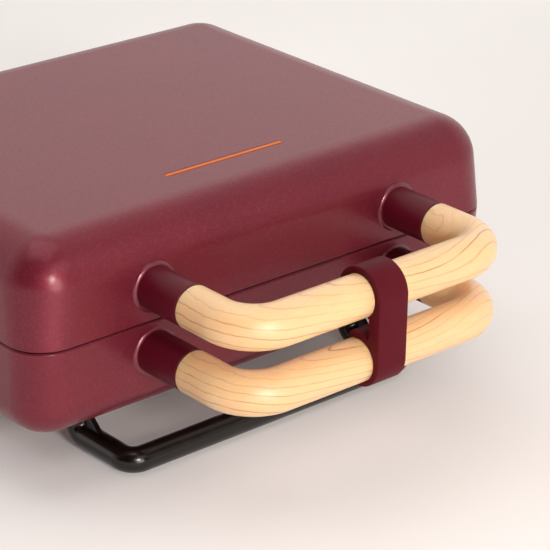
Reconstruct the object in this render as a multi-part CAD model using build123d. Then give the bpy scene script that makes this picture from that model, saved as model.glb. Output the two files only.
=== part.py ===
from build123d import *
import math
import os

# Sandwich maker, in millimetres. +Z is up, +X is the user's right and +Y is the rear, where the hinge is.
# The origin lies on the table under the centre of the whole object.
# Each half is drawn in a half frame, where the seam is z = 0, the closed end is up and the body's centre
# is x = y = 0.

os.makedirs("parts", exist_ok=True)

# Body
BODY_WIDTH = 275.0
BODY_DEPTH = 220.0
BASE_CLEARANCE = 30.7
BASE_HEIGHT = 43.6
LID_HEIGHT = 45.9
SEAM_GAP = 1.0
DRAFT_DEG = 2.4
RIM_CORNER_RADIUS = 18.5
LID_CROWN_CORNER = 24.5
LID_EDGE_RADIUS = 22.0
BASE_CROWN_CORNER = 19.0
BASE_EDGE_RADIUS = 14.5
WALL = 2.2
RIM_ROUNDING = 0.5
FIT = 0.3
RUNNING_GAP = 0.05

# Bosses inside the shells, and the small screws
BOSS_RADIUS = 4.5
BOSS_SET_IN_X = 15.5
BOSS_SET_IN_Y = 16.0
SCREW_RADIUS = 1.5
SCREW_HEAD_RADIUS = 2.9
SCREW_HEAD_HEIGHT = 1.8
SCREW_BITE = 9.0
HOLE_REACH = 60.0

# Inner frame and cooking plate
BEZEL_RECESS = 2.9
BEZEL_THICKNESS = 2.5
PLATE_GAP = 0.8
PLATE_LENGTH = 238.0
PLATE_WIDTH = 158.0
PLATE_CORNER = 12.0
PLATE_LIP = 3.4
PLATE_WALL = 3.5
POCKET_DEPTH = 12.0
POCKET_LENGTH = 106.0
POCKET_WIDTH = 132.0
POCKET_SPACING = 114.0
POCKET_CORNER = 14.0
POCKET_DRAFT_DEG = 14.0
RIDGE_HEIGHT = 9.0
RIDGE_BASE = 13.0
RIDGE_TOP = 2.0
POST_RADIUS = 4.5
POST_PITCH = 60.0

# Heating element
HEATER_RADIUS = 3.2
HEATER_LENGTH = 190.0
HEATER_WIDTH = 104.0
HEATER_BEND = 16.0
HEATER_END_SPACING = 28.0
HEATER_END_OVERHANG = 6.5
HEATER_SINK = 1.6
CLAMP_LENGTH = 24.0
CLAMP_WIDTH = 10.0
CLAMP_THICKNESS = 1.2
CLAMP_PITCH = 110.0
CLAMP_OVERHANG = 2.0
THERMOSTAT_RADIUS = 8.0
THERMOSTAT_HEIGHT = 9.0
THERMOSTAT_X = 40.0
THERMOSTAT_TAB_WIDTH = 5.0
THERMOSTAT_TAB_LENGTH = 5.0
THERMOSTAT_TAB_THICKNESS = 0.8
THERMOSTAT_ROUNDING = 1.0
FUSE_RADIUS = 2.5
FUSE_LENGTH = 22.0
FUSE_STRAP_WIDTH = 6.0
FUSE_STRAP_LENGTH = 10.0

# Reflector tray
TRAY_HEIGHT = 23.0
TRAY_WALL = 1.0
TRAY_MARGIN = 1.0
TRAY_CORNER = 14.0
TRAY_SLOT = 9.0

# Wiring
BLOCK_LENGTH = 44.0
BLOCK_WIDTH = 16.0
BLOCK_HEIGHT = 11.0
BLOCK_SETBACK = 18.0
BLOCK_CORNER = 2.0
BLOCK_SLOT_WIDTH = 2.0
BLOCK_SLOT_DEPTH = 2.5
BLOCK_SLOT_SPACING = 14.0
WIRE_RADIUS = 1.3
WIRE_BEND = 4.7
WIRE_RUN_OUT = 7.5
LEAD_RADIUS = 2.5
LEAD_BEND = 7.0
LEAD_EXIT_Z = 16.0
LEAD_LOOP = 14.0

# Indicator window
WINDOW_LENGTH = 69.0
WINDOW_WIDTH = 3.6
WINDOW_Y = -69.8
WINDOW_RECESS = 0.4
WINDOW_FLANGE = 3.2
WINDOW_FLANGE_THICKNESS = 1.5
WINDOW_FLANGE_CORNER = 2.0
BOARD_LENGTH = 98.0
BOARD_WIDTH = 12.0
BOARD_THICKNESS = 1.6
BOARD_DROP = 8.0
BOARD_POST_PITCH = 88.0
BOARD_POST_RADIUS = 2.8
LAMP_RADIUS = 2.4
LAMP_PITCH = 20.0
LAMP_COUNT = 3
LAMP_CLEARANCE = 1.0
INDICATOR_WIRE_SET_IN = 4.0

# Handles
HANDLE_SPACING = 144.6
HANDLE_REACH = 61.8
GRIP_RADIUS = 10.0
GRIP_BEND = 18.5
UPPER_BAR_RISE = 15.9
LOWER_BAR_DROP = 14.8
FERRULE_LENGTH = 25.8
COLLAR_RADIUS = 11.4
COLLAR_LENGTH = 3.4
COLLAR_ROUNDING = 1.0
TENON_RADIUS = 6.4
TENON_LENGTH = 10.0
STUD_RADIUS = 3.0
STUD_BITE = 16.0
NUT_RADIUS = 5.6
NUT_THICKNESS = 5.0
WASHER_RADIUS = 7.0
WASHER_THICKNESS = 1.2
PAD_RADIUS = 8.5
PAD_DEPTH = 4.0
STUD_STAND_OUT = 1.0

# Latch clip
CLIP_WIDTH = 17.0
CLIP_X = -1.2
CLIP_WALL = 2.2
CLIP_LINER = 1.0
CLIP_SEAT_GAP = 0.25
CLIP_WEB = 6.8
CLIP_MOUTH_START_DEG = 235.0
CLIP_MOUTH_END_DEG = 345.0
CLIP_LIP_TOP_DEG = 62.0
CLIP_LIP_BOTTOM_DEG = 276.0

# Hinge
HINGE_SETBACK = 9.0
HINGE_SPACING = 160.0
BARREL_RADIUS = 6.0
HINGE_PIN_RADIUS = 2.0
HINGE_PIN_HEAD = 3.6
HINGE_PIN_HEAD_LENGTH = 1.5
HINGE_PIN_STAND_OUT = 1.0
LID_KNUCKLE = 12.0
BASE_KNUCKLE = 8.0
KNUCKLE_GAP = 0.3
LEAF_THICKNESS = 3.0
LEAF_START = 9.0
LEAF_END = 26.0
LEAF_SCREW_SPACING = 18.0
LEAF_CORNER = 3.0
ARM_OVERLAP = 4.0
ARM_NECK = 5.0

# Mains inlet
GLAND_X = -38.0
GLAND_Z = 22.0
GLAND_BORE_RADIUS = 3.6
GLAND_RADIUS = 6.5
GLAND_FLANGE_RADIUS = 9.0
GLAND_FLANGE = 2.5
GLAND_TAIL = 9.0
GLAND_ROUNDING = 1.0

# Bottom cover
COVER_LENGTH = 128.0
COVER_WIDTH = 104.0
COVER_CORNER = 8.0
COVER_THICKNESS = 1.5
COVER_LEDGE = 9.0
COVER_VENTS = 7
COVER_VENT_PITCH = 9.0
COVER_VENT_LENGTH = 46.0
COVER_VENT_WIDTH = 3.0
BASE_FLOOR = 3.0

# Foot frames
FOOT_SPACING = 167.0
FOOT_TUBE_RADIUS = 6.0
FOOT_BAR_Y = 106.1
FOOT_RISER_Y = 67.6
FOOT_BEND = 6.8
FOOT_PAD_STEP = 0.5
FOOT_PAD_THICKNESS = 2.0
FOOT_PAD_LENGTH = 30.0
FOOT_PAD_WIDTH = 6.0
FOOT_PAD_SPACING = 120.0
GUSSET_THICKNESS = 2.5
GUSSET_RUN = 13.5
GUSSET_RISE = 12.0
GUSSET_TOE = 0.5
FOOT_SCREW_RADIUS = 2.5
FOOT_SCREW_HEAD_RADIUS = 4.5
FOOT_SCREW_HEAD = 3.0
FOOT_SCREW_BITE = 14.0

# Levels and places that follow from the sizes above
SEAM_Z = BASE_CLEARANCE + BASE_HEIGHT
RIM_Z = SEAM_GAP / 2
FRONT_Y = -BODY_DEPTH / 2
REAR_Y = BODY_DEPTH / 2
HINGE_Y = REAR_Y + HINGE_SETBACK
BAR_Y = FRONT_Y - HANDLE_REACH
JOINT_Y = FRONT_Y - FERRULE_LENGTH
LEG_X = HANDLE_SPACING / 2
CLIP_RADIUS = GRIP_RADIUS + RUNNING_GAP + CLIP_LINER + RUNNING_GAP + CLIP_WALL
LEAD_Y = REAR_Y + LEAD_LOOP
FRONT_END = BAR_Y - CLIP_RADIUS
REAR_END = max(HINGE_Y + BARREL_RADIUS, LEAD_Y + LEAD_RADIUS)
BODY_Y = -(FRONT_END + REAR_END) / 2
BEZEL_FRONT = RIM_Z + BEZEL_RECESS
BEZEL_BACK = BEZEL_FRONT + BEZEL_THICKNESS
PLATE_FACE = PLATE_GAP / 2
PLATE_FLOOR = PLATE_FACE + POCKET_DEPTH
PLATE_BACK = PLATE_FLOOR + PLATE_WALL
TRAY_BACK = BEZEL_BACK + TRAY_HEIGHT
TRAY_FLOOR = TRAY_BACK - TRAY_WALL
HEATER_Z = PLATE_BACK + HEATER_RADIUS - HEATER_SINK
HEATER_BACK = HEATER_Z + HEATER_RADIUS
HEATER_END_Y = PLATE_WIDTH / 2 + TRAY_MARGIN + HEATER_END_OVERHANG
WIRE_TURN_Y = HEATER_END_Y + WIRE_RUN_OUT
BLOCK_REAR_Y = WIRE_TURN_Y - BLOCK_SETBACK
BLOCK_FRONT_Y = BLOCK_REAR_Y - BLOCK_WIDTH
BOSS_X = BODY_WIDTH / 2 - BOSS_SET_IN_X
BOSS_Y = BODY_DEPTH / 2 - BOSS_SET_IN_Y
FOOT_Z = FOOT_TUBE_RADIUS + FOOT_PAD_STEP
CORNERS = [(x, y) for x in (-1, 1) for y in (-1, 1)]
SIDES = (-1, 1)


def save(node, *pieces):
    """Write one node, made of one or more separate solids."""
    shape = pieces[0] if len(pieces) == 1 else Compound(children=list(pieces))
    export_step(shape, f"parts/{node}.step")


def in_lid(shape):
    """Place a half-frame shape in the lid."""
    return Pos(0, BODY_Y, SEAM_Z) * shape


def in_base(shape):
    """Place a half-frame shape in the base, turned over about the seam."""
    return Pos(0, BODY_Y, SEAM_Z) * mirror(shape, about=Plane.XY)


def rod(radius, start, end):
    """A round rod from one point to another."""
    line = Line(start, end)
    return extrude(Plane(origin=start, z_dir=line % 0) * Circle(radius), line.length)


def tube_path(radius, points, bend):
    """A round rod along straight runs joined by arcs."""
    path = FilletPolyline(*points, radius=bend)
    return sweep(Plane(origin=points[0], z_dir=path % 0) * Circle(radius), path=path)


def block(x_range, y_range, z_range):
    """A box between two corners."""
    size = [high - low for low, high in (x_range, y_range, z_range)]
    centre = [(high + low) / 2 for low, high in (x_range, y_range, z_range)]
    return Pos(*centre) * Box(*size)


def slab(low, high):
    """A level slice, wider than the body, between two heights."""
    return block((-BODY_WIDTH, BODY_WIDTH), (-BODY_DEPTH, BODY_DEPTH), (low, high))


def screw(head_radius, head_height, radius, bite):
    """A screw whose head seats on z = 0 and whose shank points up."""
    head = Pos(0, 0, -head_height / 2) * Cylinder(head_radius, head_height)
    head = fillet(head.faces().sort_by(Axis.Z)[0].edges(), head_height / 3)
    return head + Pos(0, 0, bite / 2) * Cylinder(radius, bite)


def small_screw():
    """The self-tapping screw that the object uses throughout."""
    return screw(SCREW_HEAD_RADIUS, SCREW_HEAD_HEIGHT, SCREW_RADIUS, SCREW_BITE)


def hole(z, length=HOLE_REACH, radius=SCREW_RADIUS):
    """A cutter for one vertical screw hole that starts at z."""
    return Pos(0, 0, z + length / 2) * Cylinder(radius, length)


def cup(height, crown_corner, edge_radius, inset=0.0):
    """The drafted outer form of one half, or the same form set inwards by a wall."""

    def outline(z):
        shrink = 2 * (z - RIM_Z) * math.tan(math.radians(DRAFT_DEG)) + 2 * inset
        share = (z - RIM_Z) / (height - RIM_Z)
        corner = RIM_CORNER_RADIUS + (crown_corner - RIM_CORNER_RADIUS) * share - inset
        return Pos(0, 0, z) * RectangleRounded(BODY_WIDTH - shrink, BODY_DEPTH - shrink, corner)

    low = RIM_Z if inset == 0 else 0.0
    body = loft([outline(low), outline(height - inset)], ruled=True)
    return fillet(body.faces().sort_by(Axis.Z)[-1].edges(), edge_radius - inset)


class Half:
    """The outer form, inner form and fittings of one shell, in the half frame."""

    def __init__(self, height, crown_corner, edge_radius, bar_z, end_wall):
        self.height = height
        self.crown_corner = crown_corner
        self.edge_radius = edge_radius
        self.bar_z = bar_z
        self.inner_end = height - end_wall
        self.outer = self.form()
        self.inner = self.form(WALL) - slab(self.inner_end, height)

    def form(self, inset=0.0):
        """The outer form, or the same form set inwards."""
        return cup(self.height, self.crown_corner, self.edge_radius, inset)

    def shell(self):
        """The shell with bosses for the inner frame and pads for the handle studs."""
        rim_edges = self.outer.faces().sort_by(Axis.Z)[0].edges()
        shell = fillet(rim_edges, RIM_ROUNDING) - self.inner
        for x, y in CORNERS:
            boss = Pos(x * BOSS_X, y * BOSS_Y, (BEZEL_BACK + self.height) / 2)
            shell += boss * Cylinder(BOSS_RADIUS, self.height - BEZEL_BACK) & self.outer
        for x in SIDES:
            pad = rod(PAD_RADIUS, (x * LEG_X, FRONT_Y, self.bar_z), (x * LEG_X, self.pad_y(), self.bar_z))
            shell += pad & self.outer
        for x, y in CORNERS:
            shell -= Pos(x * BOSS_X, y * BOSS_Y, 0) * hole(BEZEL_BACK, SCREW_BITE)
        for x in SIDES:
            stud_hole = ((x * LEG_X, FRONT_Y - 1, self.bar_z), (x * LEG_X, 0, self.bar_z))
            shell -= rod(STUD_RADIUS + FIT, *stud_hole)
        return shell

    def pad_y(self):
        """The flat inner face that the handle nuts pull on."""
        return FRONT_Y + WALL + PAD_DEPTH

    def collar(self, x):
        """A rounded ring between the shell and a ferrule."""
        front = (x * LEG_X, FRONT_Y - COLLAR_LENGTH, self.bar_z)
        ring = rod(COLLAR_RADIUS, front, (x * LEG_X, FRONT_Y + COLLAR_LENGTH, self.bar_z))
        ring = fillet(ring.faces().sort_by(Axis.Y)[0].edges(), COLLAR_ROUNDING)
        bore = rod(GRIP_RADIUS, (x * LEG_X, JOINT_Y, self.bar_z), (x * LEG_X, 0, self.bar_z))
        return ring - bore - self.outer

    def ferrule(self, x):
        """A tube from the shell to the wood, with a socket for the wood's tenon."""
        joint = (x * LEG_X, JOINT_Y, self.bar_z)
        socket_end = (x * LEG_X, JOINT_Y + TENON_LENGTH + FIT, self.bar_z)
        inside = (x * LEG_X, FRONT_Y + WALL, self.bar_z)
        socket = rod(TENON_RADIUS + RUNNING_GAP, joint, socket_end)
        bore = rod(STUD_RADIUS + RUNNING_GAP, joint, inside)
        return rod(GRIP_RADIUS, joint, inside) - socket - bore - self.outer

    def grip(self):
        """The U-shaped wooden handle, one round rod with tenons at its ends."""
        points = [
            (-LEG_X, JOINT_Y, self.bar_z),
            (-LEG_X, BAR_Y, self.bar_z),
            (LEG_X, BAR_Y, self.bar_z),
            (LEG_X, JOINT_Y, self.bar_z),
        ]
        grip = tube_path(GRIP_RADIUS, points, GRIP_BEND)
        for x in SIDES:
            end = (x * LEG_X, JOINT_Y, self.bar_z)
            grip += rod(TENON_RADIUS, end, (end[0], JOINT_Y + TENON_LENGTH, end[2]))
            bite_end = (end[0], JOINT_Y - STUD_BITE, end[2])
            grip -= rod(STUD_RADIUS + RUNNING_GAP, bite_end, (end[0], 0, end[2]))
        return grip

    def handle_bolts(self):
        """Studs with washers and nuts, two of each."""
        pieces = []
        pad_y = self.pad_y()
        nut_y = pad_y + WASHER_THICKNESS
        for x in SIDES:
            foot = (x * LEG_X, JOINT_Y - STUD_BITE + FIT, self.bar_z)
            tip = (x * LEG_X, nut_y + NUT_THICKNESS + STUD_STAND_OUT, self.bar_z)
            pieces.append(rod(STUD_RADIUS, foot, tip))
            at_pad = Plane(origin=(x * LEG_X, pad_y, self.bar_z), z_dir=(0, 1, 0))
            at_nut = Plane(origin=(x * LEG_X, nut_y, self.bar_z), z_dir=(0, 1, 0))
            bore = Circle(STUD_RADIUS)
            pieces.append(extrude(at_pad * (Circle(WASHER_RADIUS) - bore), WASHER_THICKNESS))
            pieces.append(extrude(at_nut * (RegularPolygon(NUT_RADIUS, 6) - bore), NUT_THICKNESS))
        return pieces


def bezel(half):
    """The flat frame between the shell's rim and the cooking plate."""
    opening = RectangleRounded(PLATE_LENGTH - 2 * PLATE_LIP, PLATE_WIDTH - 2 * PLATE_LIP, PLATE_CORNER)
    frame = (slab(BEZEL_FRONT, BEZEL_BACK) & half.form(WALL + FIT)) - extrude(opening, BODY_DEPTH)
    for x, y in CORNERS:
        frame -= Pos(x * BOSS_X, y * BOSS_Y, 0) * hole(0)
    return frame


def bezel_screws():
    """Four screws that hold the frame to the shell's bosses."""
    return [Pos(x * BOSS_X, y * BOSS_Y, BEZEL_FRONT) * small_screw() for x, y in CORNERS]


def pocket():
    """The cutter for one sandwich pocket, with its diagonal ridge left standing."""
    mouth = Pos(0, 0, PLATE_FACE) * RectangleRounded(POCKET_LENGTH, POCKET_WIDTH, POCKET_CORNER)
    hollow = extrude(mouth, POCKET_DEPTH, taper=POCKET_DRAFT_DEG)
    hollow = fillet(hollow.faces().sort_by(Axis.Z)[-1].edges(), POCKET_DEPTH / 4)
    diagonal = math.hypot(POCKET_LENGTH, POCKET_WIDTH)
    turn = math.degrees(math.atan2(POCKET_WIDTH, POCKET_LENGTH))
    section = Polygon(
        (-RIDGE_BASE / 2, PLATE_FLOOR),
        (-RIDGE_TOP / 2, PLATE_FLOOR - RIDGE_HEIGHT),
        (RIDGE_TOP / 2, PLATE_FLOOR - RIDGE_HEIGHT),
        (RIDGE_BASE / 2, PLATE_FLOOR),
        align=None,
    )
    ridge = extrude(Plane.YZ * section, diagonal / 2, both=True)
    return hollow - Rot(0, 0, turn) * ridge


def cooking_plate():
    """A coated cast plate: flange, two pockets, posts and a half-sunk groove for the element."""
    flange = RectangleRounded(PLATE_LENGTH, PLATE_WIDTH, PLATE_CORNER)
    plate = extrude(Pos(0, 0, PLATE_FACE) * flange, BEZEL_FRONT - PLATE_FACE)
    neck_inset = 2 * (PLATE_LIP + FIT)
    neck = RectangleRounded(PLATE_LENGTH - neck_inset, PLATE_WIDTH - neck_inset, PLATE_CORNER)
    plate += extrude(Pos(0, 0, PLATE_FACE) * neck, PLATE_BACK - PLATE_FACE)
    for side in SIDES:
        plate -= Pos(side * POCKET_SPACING / 2, 0, 0) * pocket()
        post = Pos(0, side * POST_PITCH / 2, (PLATE_BACK + TRAY_FLOOR) / 2)
        plate += post * Cylinder(POST_RADIUS, TRAY_FLOOR - PLATE_BACK)
        plate -= Pos(0, side * POST_PITCH / 2, 0) * hole(TRAY_BACK - SCREW_BITE)
    for x, y in CORNERS:
        post = Pos(x * CLAMP_PITCH / 2, y * clamp_post_y(), (PLATE_BACK + HEATER_BACK) / 2)
        plate += post * Cylinder(POST_RADIUS, HEATER_BACK - PLATE_BACK)
        plate -= Pos(x * CLAMP_PITCH / 2, y * clamp_post_y(), 0) * hole(PLATE_BACK - 1)
    return plate - tube_path(HEATER_RADIUS + RUNNING_GAP, heater_points(), HEATER_BEND)


def clamp_post_y():
    """Where the clamp's post stands, just inside the element's long side."""
    return HEATER_WIDTH / 2 - HEATER_RADIUS - POST_RADIUS - CLAMP_OVERHANG


def heater_points():
    """The element's route: one loop round both pockets, with its two ends at the rear."""
    x = HEATER_LENGTH / 2
    y = HEATER_WIDTH / 2
    end_x = HEATER_END_SPACING / 2
    right = [(end_x, HEATER_END_Y), (end_x, y), (x, y), (x, -y)]
    left = [(-px, py) for px, py in reversed(right)]
    return [(px, py, HEATER_Z) for px, py in right + left]


def heater():
    """The sheathed tube element."""
    return tube_path(HEATER_RADIUS, heater_points(), HEATER_BEND)


def heater_clamps():
    """Four sheet straps that press the element on the plate, and their screws."""
    pieces = []
    centre_y = HEATER_WIDTH / 2 + HEATER_RADIUS + CLAMP_OVERHANG - CLAMP_LENGTH / 2
    strap_back = HEATER_BACK + CLAMP_THICKNESS
    strap = Box(CLAMP_WIDTH, CLAMP_LENGTH, CLAMP_THICKNESS)
    fixing = screw(SCREW_HEAD_RADIUS, SCREW_HEAD_HEIGHT, SCREW_RADIUS, strap_back - PLATE_BACK)
    for x, y in CORNERS:
        place = Pos(x * CLAMP_PITCH / 2, y * centre_y, strap_back - CLAMP_THICKNESS / 2)
        screw_place = Pos(x * CLAMP_PITCH / 2, y * clamp_post_y(), 0)
        pieces.append(place * strap - screw_place * hole(0))
        pieces.append(screw_place * Pos(0, 0, strap_back) * Rot(180, 0, 0) * fixing)
    return pieces


def reflector():
    """A sheet tray that closes the plate's back, pressed against the frame."""
    length = PLATE_LENGTH + 2 * TRAY_MARGIN
    width = PLATE_WIDTH + 2 * TRAY_MARGIN
    tray = extrude(Pos(0, 0, BEZEL_BACK) * RectangleRounded(length, width, TRAY_CORNER), TRAY_HEIGHT)
    inside = RectangleRounded(length - 2 * TRAY_WALL, width - 2 * TRAY_WALL, TRAY_CORNER - TRAY_WALL)
    tray -= extrude(Pos(0, 0, BEZEL_BACK) * inside, TRAY_HEIGHT - TRAY_WALL)
    for side in SIDES:
        tray -= Pos(0, side * POST_PITCH / 2, 0) * hole(0)
        slot_x = side * HEATER_END_SPACING / 2
        tray -= Pos(slot_x, width / 2, HEATER_Z) * Box(TRAY_SLOT, 4 * TRAY_WALL, TRAY_SLOT)
    return tray


def plate_screws():
    """Two screws from behind the tray into the plate's posts."""
    turned = Rot(180, 0, 0) * small_screw()
    return [Pos(0, side * POST_PITCH / 2, TRAY_BACK) * turned for side in SIDES]


def thermostat():
    """A snap disc in its cup, with two spade terminals."""
    body = Pos(0, 0, THERMOSTAT_HEIGHT / 2) * Cylinder(THERMOSTAT_RADIUS, THERMOSTAT_HEIGHT)
    body = fillet(body.faces().sort_by(Axis.Z)[-1].edges(), THERMOSTAT_ROUNDING)
    tab = Box(THERMOSTAT_TAB_WIDTH, 2 * THERMOSTAT_TAB_LENGTH, THERMOSTAT_TAB_THICKNESS)
    for side in SIDES:
        body += Pos(0, side * THERMOSTAT_RADIUS, THERMOSTAT_HEIGHT / 2) * tab
    return Pos(THERMOSTAT_X, 0, PLATE_BACK) * body


def thermal_fuse():
    """A small sleeve that lies on the plate's back, with its strap."""
    sleeve = rod(FUSE_RADIUS, (-FUSE_LENGTH / 2, 0, FUSE_RADIUS), (FUSE_LENGTH / 2, 0, FUSE_RADIUS))
    strap = Pos(0, 0, FUSE_RADIUS) * Box(FUSE_STRAP_WIDTH, FUSE_STRAP_LENGTH, 2 * FUSE_RADIUS)
    return Pos(-THERMOSTAT_X, 0, PLATE_BACK) * (sleeve + strap)


def terminal_block(half):
    """A ceramic block that seats on the closed end of the shell."""
    front = half.inner_end - BLOCK_HEIGHT
    y_range = (BLOCK_FRONT_Y, BLOCK_REAR_Y)
    body = block((-BLOCK_LENGTH / 2, BLOCK_LENGTH / 2), y_range, (front, half.inner_end))
    body = fillet(body.edges().filter_by(Axis.Z), BLOCK_CORNER)
    slot = block((-BLOCK_SLOT_WIDTH / 2, BLOCK_SLOT_WIDTH / 2), y_range, (0, front + BLOCK_SLOT_DEPTH))
    for side in SIDES:
        body -= Pos(side * BLOCK_SLOT_SPACING / 2, 0, 0) * slot
    return body


def block_z(half):
    """The level of the wires on the block's faces."""
    return half.inner_end - BLOCK_HEIGHT / 2


def heater_wires(half):
    """Two leads from the block round to the element's ends."""
    wires = []
    for side in SIDES:
        x = side * HEATER_END_SPACING / 2
        route = [
            (x, BLOCK_REAR_Y, block_z(half)),
            (x, WIRE_TURN_Y, block_z(half)),
            (x, WIRE_TURN_Y, HEATER_Z),
            (x, HEATER_END_Y, HEATER_Z),
        ]
        wires.append(tube_path(WIRE_RADIUS, route, WIRE_BEND))
    return wires


def hinge_lead_points():
    """The lead's route in the lid's half frame, from the lid's block to the base's block."""
    inner_y = WIRE_TURN_Y
    lid_z = block_z(LID)
    base_z = -block_z(BASE)
    route = [
        (BLOCK_REAR_Y, lid_z),
        (inner_y, lid_z),
        (inner_y, LEAD_EXIT_Z),
        (LEAD_Y, LEAD_EXIT_Z),
        (LEAD_Y, -LEAD_EXIT_Z),
        (inner_y, -LEAD_EXIT_Z),
        (inner_y, base_z),
        (BLOCK_REAR_Y, base_z),
    ]
    return [(0, y, z) for y, z in route]


def lead_hole():
    """The cutter for the lead's hole in a rear wall."""
    return rod(LEAD_RADIUS + RUNNING_GAP, (0, WIRE_TURN_Y, LEAD_EXIT_Z), (0, HINGE_Y, LEAD_EXIT_Z))


def leaf_screw_places():
    """Where each hinge leaf is screwed to the rear wall, in the half frame."""
    z = (LEAF_START + LEAF_END) / 2
    centres = [side * HINGE_SPACING / 2 for side in SIDES]
    return [(x + side * LEAF_SCREW_SPACING / 2, z) for x in centres for side in SIDES]


def leaf_screws():
    """Four round-head screws through the hinge leaves into the shell."""
    seats = [Plane(origin=(x, REAR_Y + LEAF_THICKNESS, z), z_dir=(0, -1, 0)) for x, z in leaf_screw_places()]
    return [seat.location * small_screw() for seat in seats]


def knuckle_arm():
    """The outline of the arm from a leaf to its barrel, in the plane across the hinge."""
    arm_top = LEAF_START + ARM_OVERLAP
    return Polygon(
        (HINGE_Y - BARREL_RADIUS, 0),
        (HINGE_Y + BARREL_RADIUS, 0),
        (REAR_Y + LEAF_THICKNESS, arm_top),
        (REAR_Y - WALL, arm_top),
        (REAR_Y - WALL, LEAF_START),
        (HINGE_Y - BARREL_RADIUS, LEAF_START - ARM_NECK),
        align=None,
    )


def knuckles(half, spans):
    """Hinge leaves with knuckles over the given x spans, seated on the shell's rear wall."""
    pieces = []
    width = LID_KNUCKLE + 2 * (BASE_KNUCKLE + KNUCKLE_GAP)
    for side in SIDES:
        x0 = side * HINGE_SPACING / 2
        leaf = block((x0 - width / 2, x0 + width / 2), (0, REAR_Y + LEAF_THICKNESS), (LEAF_START, LEAF_END))
        leaf = fillet(leaf.edges().filter_by(Axis.Y), LEAF_CORNER)
        for low, high in spans:
            barrel = rod(BARREL_RADIUS, (x0 + low, HINGE_Y, 0), (x0 + high, HINGE_Y, 0))
            arm = extrude(Pos(x0 + low, 0, 0) * (Plane.YZ * knuckle_arm()), high - low)
            leaf += barrel + arm
        leaf -= rod(HINGE_PIN_RADIUS + RUNNING_GAP, (x0 - width, HINGE_Y, 0), (x0 + width, HINGE_Y, 0))
        for x, z in leaf_screw_places():
            leaf -= rod(SCREW_RADIUS, (x, 0, z), (x, HINGE_Y, z))
        pieces.append(leaf - half.outer)
    return pieces


def hinge_pins():
    """Two headed pins through the knuckles."""
    pieces = []
    half_width = LID_KNUCKLE / 2 + KNUCKLE_GAP + BASE_KNUCKLE
    for side in SIDES:
        x0 = side * HINGE_SPACING / 2
        tail = (x0 - half_width - HINGE_PIN_STAND_OUT, HINGE_Y, 0)
        seat = (x0 + half_width, HINGE_Y, 0)
        crown = (x0 + half_width + HINGE_PIN_HEAD_LENGTH, HINGE_Y, 0)
        pieces.append(rod(HINGE_PIN_RADIUS, tail, seat) + rod(HINGE_PIN_HEAD, seat, crown))
    return pieces


def clip_section(radius_in, radius_out, start_deg, end_deg):
    """A ring sector in the clip's section plane, from one angle to another."""
    middle = (radius_in + radius_out) / 2
    arc = CenterArc((0, 0), middle, start_deg, end_deg - start_deg)
    across = Line(arc @ 0 * (radius_in / middle), arc @ 0 * (radius_out / middle))
    return sweep(across, path=arc)


def clip_solid(section):
    """A clip part: the section drawn from the upper bar's axis, drawn out across the clip's width."""
    solid = extrude(Plane.YZ * section, CLIP_WIDTH / 2, both=True)
    return Pos(CLIP_X, BAR_Y, UPPER_BAR_RISE) * solid


def clip_liner():
    """A split bush that slides on the upper bar and carries the clip."""
    inner = GRIP_RADIUS + RUNNING_GAP
    return clip_solid(clip_section(inner, inner + CLIP_LINER, CLIP_MOUTH_END_DEG - 360, CLIP_MOUTH_START_DEG))


def lower_seat():
    """The centre of the lower bar in the clip's section plane."""
    return Pos(0, -(UPPER_BAR_RISE + LOWER_BAR_DROP))


def latch_clip():
    """The stiff clip: a hook over the upper bar, a web and the front of the lower mouth."""
    drop = UPPER_BAR_RISE + LOWER_BAR_DROP
    bush = GRIP_RADIUS + RUNNING_GAP + CLIP_LINER + RUNNING_GAP
    seat = GRIP_RADIUS + CLIP_SEAT_GAP
    hook = clip_section(bush, CLIP_RADIUS, CLIP_MOUTH_END_DEG - 360, CLIP_MOUTH_START_DEG)
    web = Pos(-CLIP_RADIUS + CLIP_WEB / 2, -drop / 2) * Rectangle(CLIP_WEB, drop)
    arm = lower_seat() * clip_section(seat, CLIP_RADIUS, 90, 180)
    toe = lower_seat() * Circle(CLIP_RADIUS) & toe_strip()
    section = hook + web + arm + toe - Circle(bush) - lower_seat() * Circle(seat)
    return clip_solid(section)


def toe_strip():
    """The part of the clip's front wall below the lower bar's axis that clears the bar when it lifts."""
    thickness = CLIP_RADIUS - GRIP_RADIUS - CLIP_SEAT_GAP
    return lower_seat() * Pos(-CLIP_RADIUS, -CLIP_RADIUS / 2) * Rectangle(2 * thickness, CLIP_RADIUS)


def clip_lips():
    """The soft tips of the clip's lower mouth, above and below the lower bar."""
    seat = GRIP_RADIUS + CLIP_SEAT_GAP
    upper = lower_seat() * clip_section(seat, CLIP_RADIUS, CLIP_LIP_TOP_DEG, 90)
    lower = lower_seat() * clip_section(seat, CLIP_RADIUS, 180, CLIP_LIP_BOTTOM_DEG)
    return [clip_solid(upper), clip_solid(lower - toe_strip())]


def window():
    """The light window, set a little below the lid's top, with a flange underneath."""
    top = LID.height - WINDOW_RECESS
    back = LID.inner_end - WINDOW_FLANGE_THICKNESS
    flange_size = (WINDOW_LENGTH + 2 * WINDOW_FLANGE, WINDOW_WIDTH + 2 * WINDOW_FLANGE)
    pane = extrude(SlotOverall(WINDOW_LENGTH, WINDOW_WIDTH), top - back)
    flange = extrude(RectangleRounded(*flange_size, WINDOW_FLANGE_CORNER), WINDOW_FLANGE_THICKNESS)
    return Pos(0, WINDOW_Y, back) * (pane + flange)


def board_level():
    """The face of the lamp board that looks at the window."""
    return LID.inner_end - BOARD_DROP


def lamp_board():
    """The circuit board under the window."""
    board = Box(BOARD_LENGTH, BOARD_WIDTH, BOARD_THICKNESS)
    board = Pos(0, WINDOW_Y, board_level() - BOARD_THICKNESS / 2) * board
    for side in SIDES:
        board -= Pos(side * BOARD_POST_PITCH / 2, WINDOW_Y, 0) * hole(0)
    return board


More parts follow.
